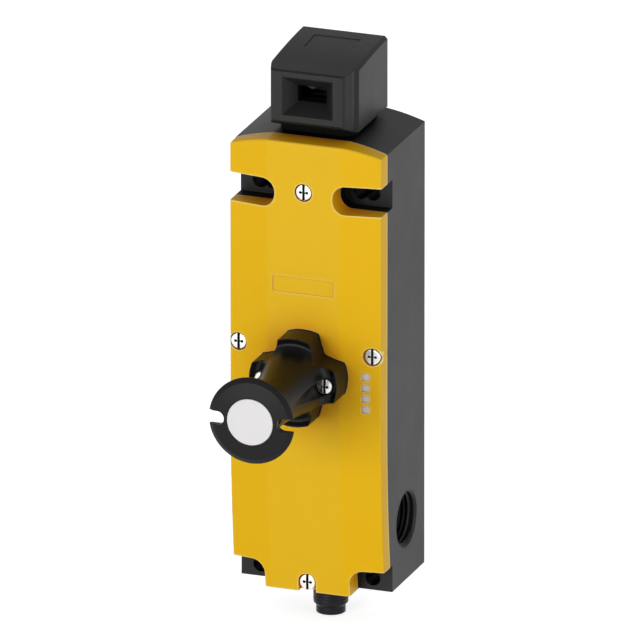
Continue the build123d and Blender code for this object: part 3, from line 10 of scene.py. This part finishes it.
import bmesh
import bpy
import numpy as np
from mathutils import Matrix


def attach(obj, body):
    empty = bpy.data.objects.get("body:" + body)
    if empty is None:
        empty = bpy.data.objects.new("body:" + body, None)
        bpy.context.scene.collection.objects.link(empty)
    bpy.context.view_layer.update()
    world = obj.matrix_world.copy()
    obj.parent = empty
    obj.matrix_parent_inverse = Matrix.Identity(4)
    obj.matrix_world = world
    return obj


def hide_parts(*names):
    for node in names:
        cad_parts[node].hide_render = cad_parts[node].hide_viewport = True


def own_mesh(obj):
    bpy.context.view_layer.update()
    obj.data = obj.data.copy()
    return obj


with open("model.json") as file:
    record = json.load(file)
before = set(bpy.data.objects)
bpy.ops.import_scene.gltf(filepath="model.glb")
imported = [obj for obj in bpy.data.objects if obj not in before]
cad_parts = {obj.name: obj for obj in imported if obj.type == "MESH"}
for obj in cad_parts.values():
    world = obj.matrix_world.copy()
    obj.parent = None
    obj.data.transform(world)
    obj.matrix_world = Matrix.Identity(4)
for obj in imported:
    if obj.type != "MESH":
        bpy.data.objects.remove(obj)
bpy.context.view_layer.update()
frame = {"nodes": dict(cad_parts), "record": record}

MM = 0.001
TURN = 2 * np.pi
FLOAT = "NodeSocketFloat"
VECTOR = "NodeSocketVector"


def screen(red, green, blue):
    """Linear colour of an 8-bit screen colour."""
    share = np.array([red, green, blue]) / 255
    linear = np.where(share <= 0.04045, share / 12.92, ((share + 0.055) / 1.055) ** 2.4)
    return (*linear.tolist(), 1.0)


# Surfaces


def round_axes(axis):
    """Axis as an array, and two unit directions across it."""
    axis = np.array(axis, float)
    side = np.array([1.0, 0, 0]) if abs(axis[0]) < 0.5 else np.array([0, 1.0, 0])
    return axis, side, np.cross(axis, side)


def ring_grid(profile, count, centre, axis):
    """Surface of revolution as a grid of points.

    Each profile row is (radius, height): the point stands at centre + height along the
    axis + radius times (cos, sin) of an angle that runs once round.
    """
    axis, side, other = round_axes(axis)
    angle = np.arange(count) * TURN / count
    round_part = np.cos(angle)[None, :, None] * side + np.sin(angle)[None, :, None] * other
    profile = np.array(profile, float)
    return (
        np.array(centre, float)
        + profile[:, 1, None, None] * axis
        + profile[:, 0, None, None] * round_part
    )


def piece(name, grids, finish, body, crease=35.0, recess=None):
    """One piece of grids of points, each closed round its columns and welded at its poles.

    Faces join point (i, j) to (i + 1, j), (i + 1, j + 1) and (i, j + 1), where the
    column after the last is the first.  The recess values, one for each point, say how
    deep in a slot the point lies, for painted shade in the slot.
    """
    points = []
    faces = []
    first = 0
    for grid in grids:
        rows, columns = grid.shape[:2]
        index = first + np.arange(rows * columns).reshape(rows, columns)
        after = np.roll(index, -1, axis=1)
        quads = np.stack([index[:-1], index[1:], after[1:], after[:-1]], axis=-1)
        points.append(grid.reshape(-1, 3) * MM)
        faces.append(quads.reshape(-1, 4))
        first += rows * columns
    mesh = bpy.data.meshes.new(name)
    mesh.from_pydata(np.concatenate(points).tolist(), [], np.concatenate(faces).tolist())
    if recess is not None:
        layer = mesh.attributes.new("recess", "FLOAT", "POINT")
        layer.data.foreach_set("value", np.concatenate([part.ravel() for part in recess]))
    work = bmesh.new()
    work.from_mesh(mesh)
    bmesh.ops.remove_doubles(work, verts=work.verts, dist=1e-7)
    bmesh.ops.dissolve_degenerate(work, edges=work.edges, dist=1e-8)
    bmesh.ops.recalc_face_normals(work, faces=work.faces)
    work.to_mesh(mesh)
    work.free()
    mesh.polygons.foreach_set("use_smooth", np.ones(len(mesh.polygons), bool))
    mesh.set_sharp_from_angle(angle=math.radians(crease))
    mesh.materials.append(finish)
    made = bpy.data.objects.new(name, mesh)
    bpy.context.scene.collection.objects.link(made)
    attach(made, body)
    return made


# Effects shared by several finishes


def node_group(name, inputs, outputs):
    """Empty group with named value and normal sockets."""
    group = bpy.data.node_groups.new(name, "ShaderNodeTree")
    for label, kind, value in inputs:
        socket = group.interface.new_socket(label, in_out="INPUT", socket_type=kind)
        socket.default_value = value
    for label, kind in outputs:
        group.interface.new_socket(label, in_out="OUTPUT", socket_type=kind)
    return group, group.nodes.new("NodeGroupInput"), group.nodes.new("NodeGroupOutput")


def add_math(group, operation, *values):
    """Math node whose inputs are linked sockets or plain numbers; returns its output."""
    made = group.nodes.new("ShaderNodeMath")
    made.operation = operation
    for socket, value in zip(made.inputs, values):
        if isinstance(value, (int, float)):
            socket.default_value = value
        else:
            group.links.new(value, socket)
    return made.outputs[0]


def noise(group, vector, scale, detail=3.0, stretch=None):
    """Noise in object space; scale is in cycles per metre, as a number or a socket."""
    made = group.nodes.new("ShaderNodeTexNoise")
    made.inputs["Detail"].default_value = detail
    if stretch:
        mapping = group.nodes.new("ShaderNodeMapping")
        mapping.inputs["Scale"].default_value = stretch
        group.links.new(vector, mapping.inputs["Vector"])
        vector = mapping.outputs[0]
    group.links.new(vector, made.inputs["Vector"])
    if isinstance(scale, (int, float)):
        made.inputs["Scale"].default_value = scale
    else:
        group.links.new(scale, made.inputs["Scale"])
    return made.outputs["Fac"]


# Noise scales in cycles per metre
WEAR_PATCHES = 900.0
WEAR_CONTRAST = 6.0
SLOW_WAVES = 55.0
FLOW_STREAKS = 140.0
FLOW_STRETCH = (1.0, 1.0, 0.35)
METAL_LINES = 9000.0
METAL_CLOUDS = 300.0
SLOW_SHARE = 0.6


def edge_wear_and_highlight_group():
    """Rounded normal and an edge mask, for wear and painted highlight, from its bend."""
    group, source, sink = node_group(
        "edge_wear_and_highlight",
        [("Radius", FLOAT, 0.0004), ("Strength", FLOAT, 1.0)],
        [("Mask", FLOAT), ("Normal", VECTOR)],
    )
    link = group.links.new
    bevel = group.nodes.new("ShaderNodeBevel")
    bevel.samples = 6
    link(source.outputs["Radius"], bevel.inputs["Radius"])
    plain = group.nodes.new("ShaderNodeNewGeometry")
    along = group.nodes.new("ShaderNodeVectorMath")
    along.operation = "DOT_PRODUCT"
    link(bevel.outputs[0], along.inputs[0])
    link(plain.outputs["Normal"], along.inputs[1])
    bent = add_math(group, "SUBTRACT", 1.0, along.outputs["Value"])
    place = group.nodes.new("ShaderNodeTexCoord")
    patchy = noise(group, place.outputs["Object"], WEAR_PATCHES)
    patchy = add_math(group, "MULTIPLY_ADD", patchy, WEAR_CONTRAST, 1.0)
    worn_and_highlit = add_math(group, "MULTIPLY", bent, patchy)
    strong = add_math(group, "MULTIPLY", worn_and_highlit, source.outputs["Strength"])
    limited = add_math(group, "MINIMUM", strong, 1.0)
    link(limited, sink.inputs["Mask"])
    link(bevel.outputs[0], sink.inputs["Normal"])
    return group


def moulded_group():
    """Grain of moulded plastic: fine bumps over slow waves, tone patches and gloss."""
    group, source, sink = node_group(
        "moulded_grain",
        [
            ("Grain Scale", FLOAT, 4000.0),
            ("Roughness", FLOAT, 0.45),
            ("Roughness Range", FLOAT, 0.12),
        ],
        [("Height", FLOAT), ("Tone", FLOAT), ("Roughness", FLOAT)],
    )
    link = group.links.new
    place = group.nodes.new("ShaderNodeTexCoord")
    spot = place.outputs["Object"]
    fine = noise(group, spot, source.outputs["Grain Scale"], 4.0)
    slow = noise(group, spot, SLOW_WAVES, 2.0)
    flow = noise(group, spot, FLOW_STREAKS, 3.0, FLOW_STRETCH)
    height = add_math(group, "MULTIPLY_ADD", slow, SLOW_SHARE, fine)
    link(height, sink.inputs["Height"])
    link(flow, sink.inputs["Tone"])
    spread = add_math(group, "SUBTRACT", add_math(group, "ADD", fine, slow), 1.0)
    rough = add_math(group, "MULTIPLY", spread, source.outputs["Roughness Range"])
    link(add_math(group, "ADD", rough, source.outputs["Roughness"]), sink.inputs["Roughness"])
    return group


EDGE_WEAR_AND_HIGHLIGHT = edge_wear_and_highlight_group()
MOULDED = moulded_group()

# Painted highlight on outer edges: the rim colour shows where the solid behind the
# surface, times the gain, plus the start, is less than one
EDGE_HIGHLIGHT_REACH = 0.0008
EDGE_HIGHLIGHT_GAIN = 2.6
EDGE_HIGHLIGHT_START = -1.2
LEAN_GAIN = 6.0
RUB_AND_HIGHLIGHT_GAIN = 1.8
RECESS_SHADE = 0.25
AO_SAMPLES = 8


def set_shader(shader, values):
    """Single values straight on the shader's sockets."""
    for label, value in values.items():
        shader.inputs[label].default_value = value


def finish_base(name):
    """New material with its node tree and its shader."""
    material = bpy.data.materials.new(name)
    material.use_nodes = True
    tree = material.node_tree
    shader = tree.nodes["Principled BSDF"]
    return material, tree, shader


def mixed(tree, mask, low, high):
    """Colour between two colours by a mask."""
    mix = tree.nodes.new("ShaderNodeMix")
    mix.data_type = "RGBA"
    tree.links.new(mask, mix.inputs["Factor"])
    for label, value in ((6, low), (7, high)):
        if isinstance(value, tuple):
            mix.inputs[label].default_value = value
        else:
            tree.links.new(value, mix.inputs[label])
    return mix.outputs[2]


def scaled(colour, factor):
    """The colour made lighter or darker."""
    return (*(min(1.0, part * factor) for part in colour[:3]), 1.0)


def openness(tree, reach, inside=False):
    """Share of open space within the reach of a surface, or of solid behind it."""
    made = tree.nodes.new("ShaderNodeAmbientOcclusion")
    made.samples = AO_SAMPLES
    made.inside = inside
    made.inputs["Distance"].default_value = reach
    return made.outputs["AO"]


def moulded(
    name,
    colour,
    rough,
    grain=4000.0,
    depth=0.00002,
    radius=0.0004,
    wear_and_highlight=0.35,
    tone=0.12,
    dark=None,
    gloss=0.25,
    reach=0.012,
    rim=None,
    flank=None,
    bite=1.0,
):
    """Moulded plastic or rubber: grain, slow tone, rounded edges with rubbing and painted
    highlight.

    Recesses and gaps between parts turn to the dark colour as painted shade, the sooner
    the larger the bite; outer edges turn to the rim colour as a painted highlight; and
    faces that lean sideways turn to the flank colour, so that faces turned to the front
    keep a paler painted sheen.
    """
    material, tree, shader = finish_base(name)
    link = tree.links.new
    edge = tree.nodes.new("ShaderNodeGroup")
    edge.node_tree = EDGE_WEAR_AND_HIGHLIGHT
    edge.inputs["Radius"].default_value = radius
    edge.inputs["Strength"].default_value = wear_and_highlight
    grained = tree.nodes.new("ShaderNodeGroup")
    grained.node_tree = MOULDED
    grained.inputs["Grain Scale"].default_value = grain
    grained.inputs["Roughness"].default_value = rough
    body_colour = mixed(
        tree, grained.outputs["Tone"], scaled(colour, 1 - tone), scaled(colour, 1 + tone)
    )
    # Painted sheen: faces turned to the front stay paler than faces that lean sideways
    if flank:
        facing = tree.nodes.new("ShaderNodeNewGeometry")
        lean = tree.nodes.new("ShaderNodeSeparateXYZ")
        link(facing.outputs["Normal"], lean.inputs[0])
        sideways = add_math(tree, "ABSOLUTE", lean.outputs["X"])
        sideways = add_math(tree, "MULTIPLY", sideways, LEAN_GAIN)
        body_colour = mixed(tree, add_math(tree, "MINIMUM", sideways, 1.0), body_colour, flank)
    # Lighter edges, partly rubbing wear and partly painted highlight
    rubbed_and_highlit = mixed(tree, edge.outputs["Mask"], body_colour, scaled(colour, RUB_AND_HIGHLIGHT_GAIN))
    # Painted highlight on outer edges, where little solid lies behind the surface
    if rim:
        backed = openness(tree, EDGE_HIGHLIGHT_REACH, inside=True)
        backed = add_math(tree, "MULTIPLY_ADD", backed, EDGE_HIGHLIGHT_GAIN, EDGE_HIGHLIGHT_START)
        rubbed_and_highlit = mixed(tree, add_math(tree, "MAXIMUM", backed, 0.0), rim, rubbed_and_highlit)
    # Painted shade in recesses and gaps between parts, where little open space lies near
    opened = add_math(tree, "MULTIPLY_ADD", openness(tree, reach), bite, 1.0 - bite)
    opened = add_math(tree, "MAXIMUM", opened, 0.0)
    shaded = mixed(tree, opened, dark or scaled(colour, RECESS_SHADE), rubbed_and_highlit)
    link(shaded, shader.inputs["Base Color"])
    link(grained.outputs["Roughness"], shader.inputs["Roughness"])
    bump = tree.nodes.new("ShaderNodeBump")
    bump.inputs["Strength"].default_value = 1.0
    bump.inputs["Distance"].default_value = depth
    link(grained.outputs["Height"], bump.inputs["Height"])
    link(edge.outputs["Normal"], bump.inputs["Normal"])
    link(bump.outputs["Normal"], shader.inputs["Normal"])
    set_shader(shader, {"Specular IOR Level": gloss})
    return material


def metal(name, colour, rough, brush=(1.0, 1.0, 0.04)):
    """Plated or drawn metal: fine lines along one way, edges with wear and painted highlight,
    painted shade in slots.
    """
    material, tree, shader = finish_base(name)
    link = tree.links.new
    place = tree.nodes.new("ShaderNodeTexCoord")
    lines = noise(tree, place.outputs["Object"], METAL_LINES, 2.0, brush)
    cloud = noise(tree, place.outputs["Object"], METAL_CLOUDS, 3.0)
    edge = tree.nodes.new("ShaderNodeGroup")
    edge.node_tree = EDGE_WEAR_AND_HIGHLIGHT
    edge.inputs["Radius"].default_value = 0.0002
    edge.inputs["Strength"].default_value = 0.6
    tint = mixed(tree, cloud, scaled(colour, 0.82), scaled(colour, 1.1))
    # Lighter edges, partly rubbing wear and partly painted highlight
    edged = mixed(tree, edge.outputs["Mask"], tint, scaled(colour, 1.35))
    # Painted shade in screw slots, by each point's recess value
    slot_shade = tree.nodes.new("ShaderNodeAttribute")
    slot_shade.attribute_name = "recess"
    link(
        mixed(tree, slot_shade.outputs["Fac"], edged, scaled(colour, 0.03)),
        shader.inputs["Base Color"],
    )
    spread = add_math(tree, "MULTIPLY_ADD", lines, 0.25, rough - 0.12)
    link(spread, shader.inputs["Roughness"])
    bump = tree.nodes.new("ShaderNodeBump")
    bump.inputs["Distance"].default_value = 0.000006
    link(lines, bump.inputs["Height"])
    link(edge.outputs["Normal"], bump.inputs["Normal"])
    link(bump.outputs["Normal"], shader.inputs["Normal"])
    set_shader(shader, {"Metallic": 1.0})
    return material


def banded(name, low, high, pitch, along, rough, metallic=0.0):
    """Wound wire or printed tracks: bands of two colours with a ridge each."""
    material, tree, shader = finish_base(name)
    link = tree.links.new
    place = tree.nodes.new("ShaderNodeTexCoord")
    wave = tree.nodes.new("ShaderNodeTexWave")
    wave.bands_direction = along
    wave.inputs["Scale"].default_value = TURN / 20 / pitch
    wave.inputs["Distortion"].default_value = 0.4
    link(place.outputs["Object"], wave.inputs["Vector"])
    link(mixed(tree, wave.outputs["Fac"], low, high), shader.inputs["Base Color"])
    bump = tree.nodes.new("ShaderNodeBump")
    bump.inputs["Distance"].default_value = pitch / 3
    link(wave.outputs["Fac"], bump.inputs["Height"])
    link(bump.outputs["Normal"], shader.inputs["Normal"])
    rub = noise(tree, place.outputs["Object"], 700.0)
    link(add_math(tree, "MULTIPLY_ADD", rub, 0.2, rough), shader.inputs["Roughness"])
    set_shader(shader, {"Metallic": metallic})
    return material


# dark is the painted shade colour of recesses, rim the painted highlight of outer edges, flank
# the colour of faces leaning sideways beside a paler painted sheen in front
finishes = {
    "black_housing": moulded(
        "glass_filled_black",
        screen(42, 42, 44),
        0.46,
        grain=3200.0,
        depth=0.00003,
        dark=screen(3, 3, 4),
        gloss=0.2,
        reach=0.022,
        bite=1.5,
    ),
    "yellow_cover": moulded(
        "satin_yellow",
        screen(228, 182, 28),
        0.42,
        grain=5200.0,
        depth=0.000012,
        radius=0.0006,
        wear_and_highlight=0.5,
        tone=0.02,
        dark=screen(206, 118, 4),
        gloss=0.12,
        rim=screen(255, 226, 150),
        flank=screen(230, 180, 14),
    ),
    "black_head": moulded(
        "head_black", screen(31, 32, 31), 0.44, grain=3200.0, depth=0.00003, gloss=0.2
    ),
    "black_gloss": moulded(
        "release_black",
        screen(18, 16, 16),
        0.34,
        grain=2400.0,
        depth=0.000006,
        radius=0.0007,
        wear_and_highlight=0.2,
        gloss=0.16,
    ),
    "knob_plastic": moulded(
        "knob_black", screen(20, 19, 20), 0.4, grain=2600.0, depth=0.00001, gloss=0.16
    ),
    "cap_white": moulded(
        "cap_white",
        screen(226, 224, 225),
        0.5,
        grain=2600.0,
        depth=0.000006,
        tone=0.02,
        dark=screen(190, 188, 190),
    ),
    "black_rubber": moulded(
        "seal_rubber", screen(14, 14, 14), 0.8, grain=1500.0, depth=0.00003, gloss=0.08
    ),
    "white_plastic": moulded("natural_white", screen(214, 212, 204), 0.45, tone=0.03),
    "grey_plastic": moulded("terminal_grey", screen(120, 123, 126), 0.5, tone=0.05),
    "insert_black": moulded("insert_black", screen(22, 22, 23), 0.5),
    "led_plastic": moulded("lamp_clear", screen(222, 222, 214), 0.2, tone=0.03),
    "window_plastic": moulded(
        "window_smoke",
        screen(214, 204, 200),
        0.2,
        grain=1200.0,
        depth=0.000004,
        radius=0.0003,
        wear_and_highlight=0.3,
        tone=0.05,
        dark=screen(120, 104, 92),
        reach=0.0012,
    ),
    "zinc_steel": metal("zinc_plate", screen(226, 226, 222), 0.30),
    "steel_part": metal("turned_steel", screen(196, 197, 199), 0.36, (1.0, 0.06, 1.0)),
    "spring_steel": metal("spring_wire", screen(160, 161, 166), 0.3),
    "brass_part": metal("brass_strip", screen(214, 180, 110), 0.32, (0.06, 1.0, 1.0)),
    "connector_metal": metal("dark_nickel", screen(40, 40, 43), 0.4, (1.0, 1.0, 0.3)),
    "copper_wire": banded(
        "enamelled_winding",
        screen(120, 58, 26),
        screen(190, 104, 54),
        pitch=0.0004,
        along="Z",
        rough=0.3,
        metallic=0.7,
    ),
    "board_green": banded(
        "coated_board",
        screen(18, 78, 42),
        screen(34, 108, 62),
        pitch=0.0018,
        along="X",
        rough=0.35,
    ),
}

for row in frame["record"]["subparts"]:
    slots = frame["nodes"][row["node"]].data.materials
    slots.clear()
    slots.append(finishes[row["material_slot"]])


# Floor, light and camera

FLOOR_Z = -19.2 * MM
FLOOR_HALF = 6.0
FLOOR_LIFT = 0.72
SKY_LIGHT = 0.42
SKY_LIGHT_FALL = -0.06
SKY_MIRROR_FALL = -0.7
LAMP_SIZE = 0.8
LAMP_TARGET = (0.0, -0.03, 0.08)
AZIMUTH, ELEVATION = 20.09, 19.44
BODY_FOOT = (0.0, 0.0, -4.2)
AIM_RIGHT = -9.80
AIM_UP = 78.50
CAMERA_DISTANCE = 9.5
CAMERA_FIELD = 0.2159


def floor():
    """Plain pale floor that stays white beyond the shadow."""
    half = FLOOR_HALF
    mesh = bpy.data.meshes.new("floor")
    corners = [(-half, -half), (half, -half), (half, half), (-half, half)]
    mesh.from_pydata([(x, y, FLOOR_Z) for x, y in corners], [], [(0, 1, 2, 3)])
    material, tree, shader = finish_base("pale_floor")
    shader.inputs["Base Color"].default_value = (0.9, 0.9, 0.9, 1)
    shader.inputs["Roughness"].default_value = 0.9
    glow = tree.nodes.new("ShaderNodeEmission")
    path = tree.nodes.new("ShaderNodeLightPath")
    seen = add_math(tree, "MAXIMUM", path.outputs["Is Camera Ray"], path.outputs["Is Glossy Ray"])
    seen = add_math(tree, "MAXIMUM", seen, path.outputs["Is Transmission Ray"])
    lift = add_math(tree, "MULTIPLY", seen, FLOOR_LIFT)
    tree.links.new(lift, glow.inputs["Strength"])
    both = tree.nodes.new("ShaderNodeAddShader")
    tree.links.new(shader.outputs[0], both.inputs[0])
    tree.links.new(glow.outputs[0], both.inputs[1])
    tree.links.new(both.outputs[0], tree.nodes["Material Output"].inputs["Surface"])
    mesh.materials.append(material)
    made = bpy.data.objects.new("floor", mesh)
    bpy.context.scene.collection.objects.link(made)


def studio_air():
    """White surroundings: full for the camera, dimmer from above in gloss and as light."""
    world = bpy.data.worlds.new("studio")
    bpy.context.scene.world = world
    world.use_nodes = True
    tree = world.node_tree
    tree.nodes["Background"].inputs["Color"].default_value = (1, 1, 1, 1)
    path = tree.nodes.new("ShaderNodeLightPath")
    place = tree.nodes.new("ShaderNodeTexCoord")
    split = tree.nodes.new("ShaderNodeSeparateXYZ")
    tree.links.new(place.outputs["Generated"], split.inputs[0])
    above = add_math(tree, "MAXIMUM", split.outputs["Z"], 0.0)
    dim = add_math(tree, "MULTIPLY_ADD", above, SKY_LIGHT_FALL, SKY_LIGHT)
    mirrored = add_math(tree, "MULTIPLY_ADD", above, SKY_MIRROR_FALL, 1.0)
    through = path.outputs["Is Transmission Ray"]
    gloss = add_math(tree, "MAXIMUM", path.outputs["Is Glossy Ray"], through)
    level = add_math(tree, "MAXIMUM", dim, add_math(tree, "MULTIPLY", gloss, mirrored))
    level = add_math(tree, "MAXIMUM", level, path.outputs["Is Camera Ray"])
    tree.links.new(level, tree.nodes["Background"].inputs["Strength"])


def lamp(name, place, power):
    """Square soft lamp at a place, turned to the switch."""
    data = bpy.data.lights.new(name, "AREA")
    data.energy = power
    data.size = LAMP_SIZE
    made = bpy.data.objects.new(name, data)
    made.location = place
    away = np.array(place) - np.array(LAMP_TARGET)
    made.rotation_euler = (
        math.acos(away[2] / np.linalg.norm(away)),
        0.0,
        math.atan2(away[0], -away[1]),
    )
    bpy.context.scene.collection.objects.link(made)


def camera():
    """Long lens at the photograph's angle.

    It looks at the point that stands AIM_RIGHT and AIM_UP, across and up the picture,
    from the body's foot.
    """
    turn, tip = math.radians(AZIMUTH), math.radians(ELEVATION)
    right = np.array([math.cos(turn), math.sin(turn), 0.0])
    up = np.array([-right[1] * math.sin(tip), right[0] * math.sin(tip), math.cos(tip)])
    back = np.array([right[1] * math.cos(tip), -right[0] * math.cos(tip), math.sin(tip)])
    aim = (np.array(BODY_FOOT) + AIM_RIGHT * right + AIM_UP * up) * MM
    data = bpy.data.cameras.new("camera")
    data.sensor_width = 36.0
    data.sensor_height = 36.0
    data.lens = data.sensor_width * CAMERA_DISTANCE / CAMERA_FIELD
    data.clip_end = 100.0
    made = bpy.data.objects.new("camera", data)
    made.location = aim + CAMERA_DISTANCE * back
    made.rotation_euler = (math.pi / 2 - tip, 0.0, turn)
    bpy.context.scene.collection.objects.link(made)
    bpy.context.scene.camera = made


floor()
studio_air()
lamp("key", (-0.45, -1.75, 0.30), 17.3)
lamp("side", (1.3, -0.45, 0.35), 5.0)
camera()
bpy.context.scene.view_settings.view_transform = "Standard"


# Screw heads; the slope is the width over which a cut falls to its floor

HEAD_COLUMNS = 120
RIM_START_SHARE = 0.86
RIM_DROP = 0.45
RIM_DEPTH = 0.55
SLOPE = 0.12
SLOT_DEPTH = 1.0
PIT_DEPTH = 1.2
PIT_RADIUS = 0.42
GROOVE_DEPTH = 0.35
GROOVE_HALF = 0.2
SLOT_SHADE_DEPTH = 0.5
SHANK_RADIUS = 1.5
SHANK_PITCH = 1.2
SHANK_GROOVE = 0.22


def sunk(inside):
    """One inside a cut and zero outside, over a short slope; inside is a length."""
    return np.clip(inside / SLOPE + 0.5, 0, 1)


def screw_surface(x, z, front, radius, height, crown, slot_half, cross):
    """Screw head seen from the front, as heights over rings of points.

    Height falls from the front by the crown times the share of the radius squared, with
    a rounded rim; in the slot, in three pits across it and in a narrow groove between
    the pits it falls to a floor.
    """
    rim_turn = np.linspace(1.0, 1.57, 5)
    share = np.concatenate([np.linspace(0.02, 0.9, 26), 1 - 0.1 * np.cos(rim_turn)])
    angle = np.arange(HEAD_COLUMNS) * TURN / HEAD_COLUMNS
    across = radius * share[:, None] * np.cos(angle)[None, :]
    upward = radius * share[:, None] * np.sin(angle)[None, :]
    rim = np.clip((share - RIM_START_SHARE) / (1 - RIM_START_SHARE), 0, 1)
    drop = (crown * share**2 + RIM_DROP * rim**2)[:, None] * np.ones_like(across)
    dug = SLOT_DEPTH * sunk(slot_half - np.abs(across))
    for middle in (-cross, 0.0, cross):
        away = np.hypot(across - middle, upward)
        dug = np.maximum(dug, PIT_DEPTH * sunk(PIT_RADIUS - away))
    narrow = sunk(GROOVE_HALF - np.abs(upward)) * sunk(cross - np.abs(across))
    dug = np.maximum(dug, GROOVE_DEPTH * narrow)
    # Painted shade in the slot, pits and groove, full from this depth down
    slot_shade_share = np.clip(dug / SLOT_SHADE_DEPTH, 0, 1)
    top = np.stack([x + across, drop + dug - front, z + upward], axis=-1)
    centre = np.full((1, HEAD_COLUMNS, 3), [x, PIT_DEPTH - front, z])
    edge = [(radius, -RIM_DEPTH), (radius, -height)]
    side = ring_grid(edge, HEAD_COLUMNS, (x, -front, z), (0, -1, 0))
    slot_shade_share = np.concatenate([np.ones((1, HEAD_COLUMNS)), slot_shade_share, np.zeros((2, HEAD_COLUMNS))])
    return np.concatenate([centre, top, side], axis=0), slot_shade_share


def shank(x, z, start, end, radius):
    """Threaded shank towards the wall, as rings whose radius rises and falls by pitch."""
    depth = np.linspace(start, end, 2 * int((start - end) / SHANK_PITCH) + 2)
    ridge = radius - SHANK_GROOVE * (np.arange(len(depth)) % 2)
    rows = np.stack([ridge, depth], axis=1)
    rows = np.concatenate([rows, [[0.0, end]]])
    return ring_grid(rows, 24, (x, 0, z), (0, -1, 0))


def screw_set(name, heads, tips, replaced):
    """Screws of one kind as one piece, heads and shanks, in place of the plain ones."""
    grids = []
    slot_shade_share = []
    for values, (end, reach) in zip(heads, tips):
        head, slot_shade = screw_surface(*values)
        stem = shank(values[0], values[1], values[2] - reach, end, SHANK_RADIUS)
        grids += [head, stem]
        slot_shade_share += [slot_shade, np.zeros(stem.shape[:2])]
    made = piece(name, grids, finishes["zinc_steel"], "body", 30, slot_shade_share)
    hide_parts(replaced)


COVER_FRONT = 44.9
FACET_HALF = 12.8
FACET_SLOPE = 2.3 / 14.2
BEND_START = 55.8
BEND_RADIUS = 440.0


def cover_front(x, z):
    """Depth of the cover's surface: centre depth less the facet's slope and the bend.

    The bend is the drop of a circle that starts below a height.
    """
    slope = max(0.0, abs(x) - FACET_HALF) * FACET_SLOPE
    low = max(0.0, BEND_START - z)
    return COVER_FRONT - slope - (BEND_RADIUS - math.sqrt(BEND_RADIUS**2 - low**2))


def screws():
    """Four cover screws and the two screws of the release.

    A head is (x, z, front, radius, height, crown, slot_half, cross), and a tip is the
    depth where the shank ends and how far behind the front it starts.
    """
    sink = 0.2
    places = [(0.0, 138.9), (0.0, -0.75), (23.8, 82.9), (-23.8, 82.9)]
    heads = [(x, z, cover_front(x, z) - sink, 2.9, 2.4, 0.12, 0.36, 1.15) for x, z in places]
    screw_set("cover_screw_heads", heads, [(29.2, 2.4)] * 4, "cover_screws")
    heads = [(side * 11.2, 74.9, 55.2, 2.7, 2.8, 0.45, 0.36, 1.0) for side in (-1, 1)]
    screw_set("release_screw_heads", heads, [(37.9, 2.8)] * 2, "release_screws")


# Threads and springs


def thread_grid(turns, pitch, root, crest, start, axis, count=72):
    """Ridge that climbs one pitch each turn, as a closed tube along a helix.

    Its section is a flat-topped triangle between the root and crest radii, in shares of
    their difference and of the pitch, and it fades out at both ends.
    """
    angle = np.arange(int(turns * count) + 1) * TURN / count
    axis, side, other = round_axes(axis)
    section = np.array([[0, -0.42], [1, -0.08], [1, 0.08], [0, 0.42]])
    fade = np.clip(np.minimum(angle, angle[-1] - angle) / 1.2, 0.02, 1)[:, None]
    radius = root + (crest - root) * section[None, :, 0] * fade
    height = pitch * (angle[:, None] / TURN + section[None, :, 1])
    around = np.cos(angle)[:, None, None] * side + np.sin(angle)[:, None, None] * other
    grid = np.array(start, float) + height[..., None] * axis + radius[..., None] * around
    lid = grid.mean(axis=1, keepdims=True) * np.ones((1, 4, 1))
    return np.concatenate([lid[:1], grid, lid[-1:]], axis=0)


def threads():
    """Gland threads in both cable entries and the coupling thread of the plug."""
    for name, way in (("right", 1), ("left", -1)):
        grid = thread_grid(
            turns=4.9,
            pitch=1.5,
            root=9.25,
            crest=8.45,
            start=(way * 18.3, -17.7, 17.3),
            axis=(way, 0, 0),
        )
        piece(f"entry_thread_{name}", [grid], finishes["black_housing"], "body")
    grid = thread_grid(
        turns=9.0,
        pitch=1.0,
        root=5.85,
        crest=6.0,
        start=(0, -17.8, -14.6),
        axis=(0, 0, 1),
        count=64,
    )
    piece("plug_thread", [grid], finishes["connector_metal"], "body")


def coil_grid(radius, wire, low, high, turns, x, y):
    """Closed tube along a helix about a vertical axis.

    The middle of the wire stands at radius times (cos, sin) of its angle and climbs
    evenly, with nearly flat end turns; the wire's ring lies across the helix.
    """
    share = np.linspace(0, 1, 48 * turns + 1)
    angle = share * turns * TURN
    climb = np.interp(share, [0, 0.8 / turns, 1 - 0.8 / turns, 1], [0, 0.12, 0.88, 1])
    height = low + wire / 2 + climb * (high - low - wire)
    around = np.arange(12) * TURN / 12
    reach = radius + wire / 2 * np.cos(around)[None, :]
    grid = np.stack(
        [
            x + reach * np.cos(angle)[:, None],
            y + reach * np.sin(angle)[:, None],
            height[:, None] + wire / 2 * np.sin(around)[None, :],
        ],
        axis=-1,
    )
    lid = grid.mean(axis=1, keepdims=True) * np.ones((1, 12, 1))
    return np.concatenate([lid[:1], grid, lid[-1:]], axis=0)


def springs():
    """Plunger and armature springs, in place of the plain ones.

    A coil is (radius, wire, low, high, turns, x, y); its anchor is the height that
    stays, and keep is the share of its length that is left at the joint's limit.
    """
    for name, values, joint, anchor, keep in (
        ("plunger_coil", (4.3, 0.8, 124.0, 133.0, 5, 0.0, -19.5), "plunger_lift", 124.0, 0.67),
        ("armature_coil", (5.1, 0.6, 52.6, 57.8, 3, -12.0, -19.5), "armature_pull", 52.6, 0.54),
    ):
        made = piece(name, [coil_grid(*values)], finishes["spring_steel"], "body")
        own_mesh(made)
        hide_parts(name.replace("coil", "spring"))


screws()
threads()
springs()
